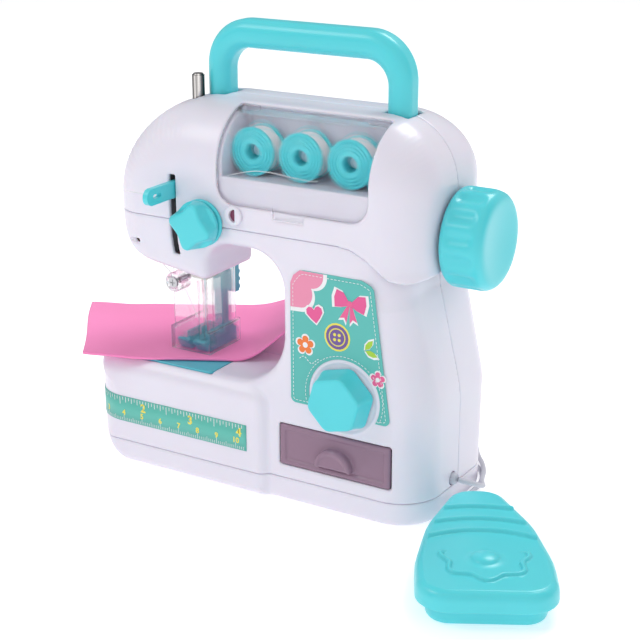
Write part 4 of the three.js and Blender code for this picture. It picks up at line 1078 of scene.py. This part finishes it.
def make_label():
    outline = label_outline()
    stands_for(flat_patch("label_sheet", outline, LABEL_Y, LABEL), "machine", "teal_plastic")
    border = inner_line(outline, 1.5)
    stitches("label_stitches", np.vstack([border, border[:1]]))
    corner = [(22.6, 98.4), (24, 101.6), (27, 104.0), (39.8, 104.0)]
    corner += arc_points(33.6, 102.6, 6.2, np.linspace(0.1, -1.5, 12))
    corner += arc_points(27.3, 93.4, 6.9, np.linspace(0.45, -1.4, 12))
    corner += [(22.6, 86.3)]
    art("corner_edge", corner, 1, WHITE)
    middle = np.array([24.6, 101.8])
    inner = [tuple(middle + (np.array(q) - middle) * 0.9 + (-0.25, 0.2)) for q in corner[3:]]
    art("corner_patch", corner[:3] + inner, 2, SOFT_PINK)
    x, z, size, angle = 50.4, 93.6, 6.6, -0.1
    for side in (1, -1):
        wing, tail = ([(side * u, v) for u, v in line] for line in (BOW_WING, BOW_TAIL))
        number = side + 2
        for name, shape, at, grown, layer, finish in (
            ("wing_edge", wing, (x + 0.1 * side, z), 1.16, 1, WHITE),
            ("tail_edge", tail, (x, z - 0.1), 1.14, 1, WHITE),
            ("tail", tail, (x, z), 1.0, 2, ROSE),
            ("wing", wing, (x, z), 1.0, 3, PINK_PRINT),
        ):
            art(f"bow_{name}_{number}", turned(shape, *at, size * grown, angle)[::side], layer, finish)
    art("bow_knot", round_dot(x, z, 1.3), 4, ROSE)
    art("heart_edge", turned(HEART, 34.2, 86.5, 4.6, 0.2), 3, WHITE)
    art("heart", turned(HEART, 34.2, 86.5, 3.8, 0.2), 4, PINK_PRINT)
    discs = (("edge", 6.0, YELLOW), ("face", 5.2, PURPLE), ("ring", 3.9, YELLOW), ("middle", 3.4, PURPLE))
    for layer, (name, radius, finish) in enumerate(discs, 1):
        art(f"button_{name}", round_dot(*BUTTON, radius), layer, finish)
    holes = arc_points(*BUTTON, 1.5, [pi / 4 + k * pi / 2 for k in range(4)])
    for k, spot in enumerate(holes, 1):
        art(f"button_hole_{k}", round_dot(*spot, 0.7), 5, YELLOW)
    for k, (x, z, finish, size) in enumerate([(29.6, 72.6, ORANGE, 4.0), (63.4, 64.0, ROSE, 3.3)], 1):
        art(f"flower_edge_{k}", petals(x, z, size * 1.2, 5, 0.4, 0.3), 1, WHITE)
        art(f"flower_{k}", petals(x, z, size, 5, 0.45, 0.3), 2, finish)
        art(f"flower_middle_{k}", round_dot(x, z, size * 0.3), 3, WHITE)
    for k, (x, z, angle) in enumerate([(57.4, 75.6, 0.9), (57.6, 75.2, -0.3)], 1):
        art(f"leaf_edge_{k}", turned(LEAF, x - 0.5, z - 0.3, 4.6, angle), 1, WHITE)
        art(f"leaf_{k}", turned(LEAF, x, z, 3.6, angle), 2, LIME)
    wave = [(27 + k * 0.5, 66.4 + 1.3 * sin(k * 0.42)) for k in range(20)]
    stitches("loose_stitches", wave, 1.5, 0.9, 0.3)


RULER_ZERO = -103.65
INCH = 25.4
PRINT_LIFT = 0.30
CORNER_X, CORNER_Y, CORNER_R = -65.2, -20.0, 18.0


def on_bed(s, z, lift):
    """A point on the bed's front at x = s, carried round the left corner past its start."""
    if s >= CORNER_X:
        return (s, -38 - lift, z)
    angle = (CORNER_X - s) / CORNER_R
    radius = CORNER_R + lift
    return (CORNER_X - radius * sin(angle), CORNER_Y - radius * cos(angle), z)


def bed_film(name, left, right, low, high, lift, finish):
    """A film bent round the bed: one row of quads between two heights."""
    steps = int((right - left) / 1.5)
    spots = [left + (right - left) * i / steps for i in range(steps + 1)]
    vertices = [on_bed(s, z, lift) for s in spots for z in (low, high)]
    faces = [(a, a + 2, a + 3, a + 1) for a in range(0, 2 * steps, 2)]
    made = mesh_object(name, np.array(vertices) * MM, faces, finish)
    thick = made.modifiers.new("thickness", "SOLIDIFY")
    thick.thickness = 0.2 * MM
    thick.offset = 1.0
    return made


def join(parts):
    """One list of vertices and one of faces from several."""
    vertices, faces = [], []
    for part_vertices, part_faces in parts:
        start = len(vertices)
        vertices += part_vertices
        faces += [[i + start for i in face] for face in part_faces]
    return vertices, faces


def text_faces(text, size, centre, base):
    """A digit bent onto the bed's front."""
    curve = bpy.data.curves.new("digit", "FONT")
    curve.body = text
    curve.size = size
    curve.align_x = "CENTER"
    curve.offset = 0.03 * size
    curve.resolution_u = 3
    holder = new_object("digit", curve)
    graph = bpy.context.evaluated_depsgraph_get()
    mesh = bpy.data.meshes.new_from_object(holder.evaluated_get(graph))
    vertices = [on_bed(centre + v.co.x, base + v.co.y, PRINT_LIFT) for v in mesh.vertices]
    faces = [list(p.vertices) for p in mesh.polygons]
    bpy.data.objects.remove(holder)
    return vertices, faces


def tick_faces(s, z0, z1, width):
    half = width / 2
    corners = ((s - half, z0), (s + half, z0), (s + half, z1), (s - half, z1))
    return [on_bed(*corner, PRINT_LIFT) for corner in corners], [[0, 1, 2, 3]]


def make_ruler():
    stands_for(bed_film("ruler_strip", -84, 1.7, 19.9, 31.8, 0.05, RULER), "machine", "teal_plate")
    ticks = []
    for k in range(21, 105):
        tall = 2.6 if k % 10 == 0 else 2.0 if k % 5 == 0 else 1.3
        ticks.append(tick_faces(k + RULER_ZERO, 20.3, 20.3 + tall, 0.22))
    for k in range(14, 66):
        tall = 4.6 if k % 16 == 0 else 3.6 if k % 8 == 0 else 2.4 if k % 2 == 0 else 1.5
        ticks.append(tick_faces(INCH * k / 16 + RULER_ZERO, 31.4 - tall, 31.4, 0.26))
    digits = [text_faces(str(m), 3.5, 10 * m + RULER_ZERO, 22.9) for m in range(3, 11)]
    digits += [text_faces(str(m), 5.4, INCH * m + RULER_ZERO, 26.2) for m in range(2, 5)]
    for name, parts, finish in (("ruler_ticks", ticks, WHITE), ("ruler_digits", digits, YELLOW)):
        vertices, faces = join(parts)
        made = mesh_object(name, np.array(vertices) * MM, faces, finish, False)
        stands_for(made, "machine", "white_plastic")


# ---------------- the rest


def finish_cad_nodes():
    for finish, bevel, nodes in (
        (SHELL, 0.15, "battery_door"),
        (STEEL, 0.15, "battery_door_screw case_screw_1 case_screw_2 guard_screw feed_dog main_shaft"),
        (STEEL, 0.15, "motor lower_shaft looper pedal_spring"),
        (CELL, 0.15, "battery_cell_1 battery_cell_2 battery_cell_3"),
        (WHITE, 0.15, "crank_disc main_gear needle_yoke needle_bar_bracket"),
        (BRASS, 0.15, "shaft_bush_left shaft_bush_right motor_pinion"),
        (RUBBER, 0.15, "drive_belt"),
        (DARK, 0.15, "dial_switch"),
        (CORD, 0.15, "pedal_strain_relief cord_grommet"),
        (CHROME, 0.15, "needle"),
        (CHROME, 0.3, "needle_clamp"),
        (PLATE, 0.3, "needle_plate"),
        (TURQUOISE, 0.5, "take_up_lever"),
        (TEAL, 0.4, "presser_bar presser_foot presser_lifter"),
    ):
        for node in nodes.split():
            paint(node, finish, bevel, smooth=False)
    paint("needle_bar", REFLECTION_PAINTED_BAR)


def make_light():
    scene = bpy.context.scene
    scene.view_settings.view_transform = "Standard"
    world = bpy.data.worlds.new("studio")
    scene.world = world
    world.use_nodes = True
    tree = world.node_tree
    light = tree.nodes["Background"]
    light.inputs["Strength"].default_value = 0.66
    place = tree.nodes.new("ShaderNodeTexCoord")
    stops = ((0.08, 1.2), (0.15, 0.15), (0.20, 1.2), (0.50, 1.2), (0.57, 0.2), (0.63, 1.2), (0.84, 0.3))
    sweep, colour = radial_bands(tree, (1, 1, 1), stops)
    tree.links.new(place.outputs["Generated"], sweep.inputs["Vector"])
    tree.links.new(colour, light.inputs["Color"])
    aim = Vector((0.02, -0.01, 0.08))
    for name, place, size, power in (
        ("key", (-0.60, -0.70, 1.00), 0.5, 3.6),
        ("fill", (0.95, -0.75, 0.55), 0.6, 0.25),
        ("back", (0.1, 0.7, 1.1), 0.5, 6.5),
    ):
        data = bpy.data.lights.new(name, "AREA")
        data.size = size
        data.energy = power
        lamp = new_object(name, data)
        lamp.location = place
        lamp.rotation_euler = (aim - Vector(place)).to_track_quat("-Z", "Y").to_euler()


def make_floor():
    size, drop = 3.0, -0.0002
    corners = [(-size, -size, drop), (size, -size, drop), (size, size, drop), (-size, size, drop)]
    paper = material("floor_paper", WHITE_TONE, 0.9, grain=0.1, specular_ior_level=0.0)
    shader = paper.node_tree.nodes["Principled BSDF"]
    shader.inputs["Emission Color"].default_value = (1, 1, 1, 1)
    shader.inputs["Emission Strength"].default_value = 0.44
    mesh_object("floor", corners, [(0, 1, 2, 3)], paper, False)


cord = make_cord()
cord.data.materials.append(CORD)
make_casing()
make_turned_parts()
make_compartment()
make_pedal()
make_needle_area()
make_thread_path()
make_cloth()
make_label()
make_ruler()
finish_cad_nodes()
make_light()
make_floor()
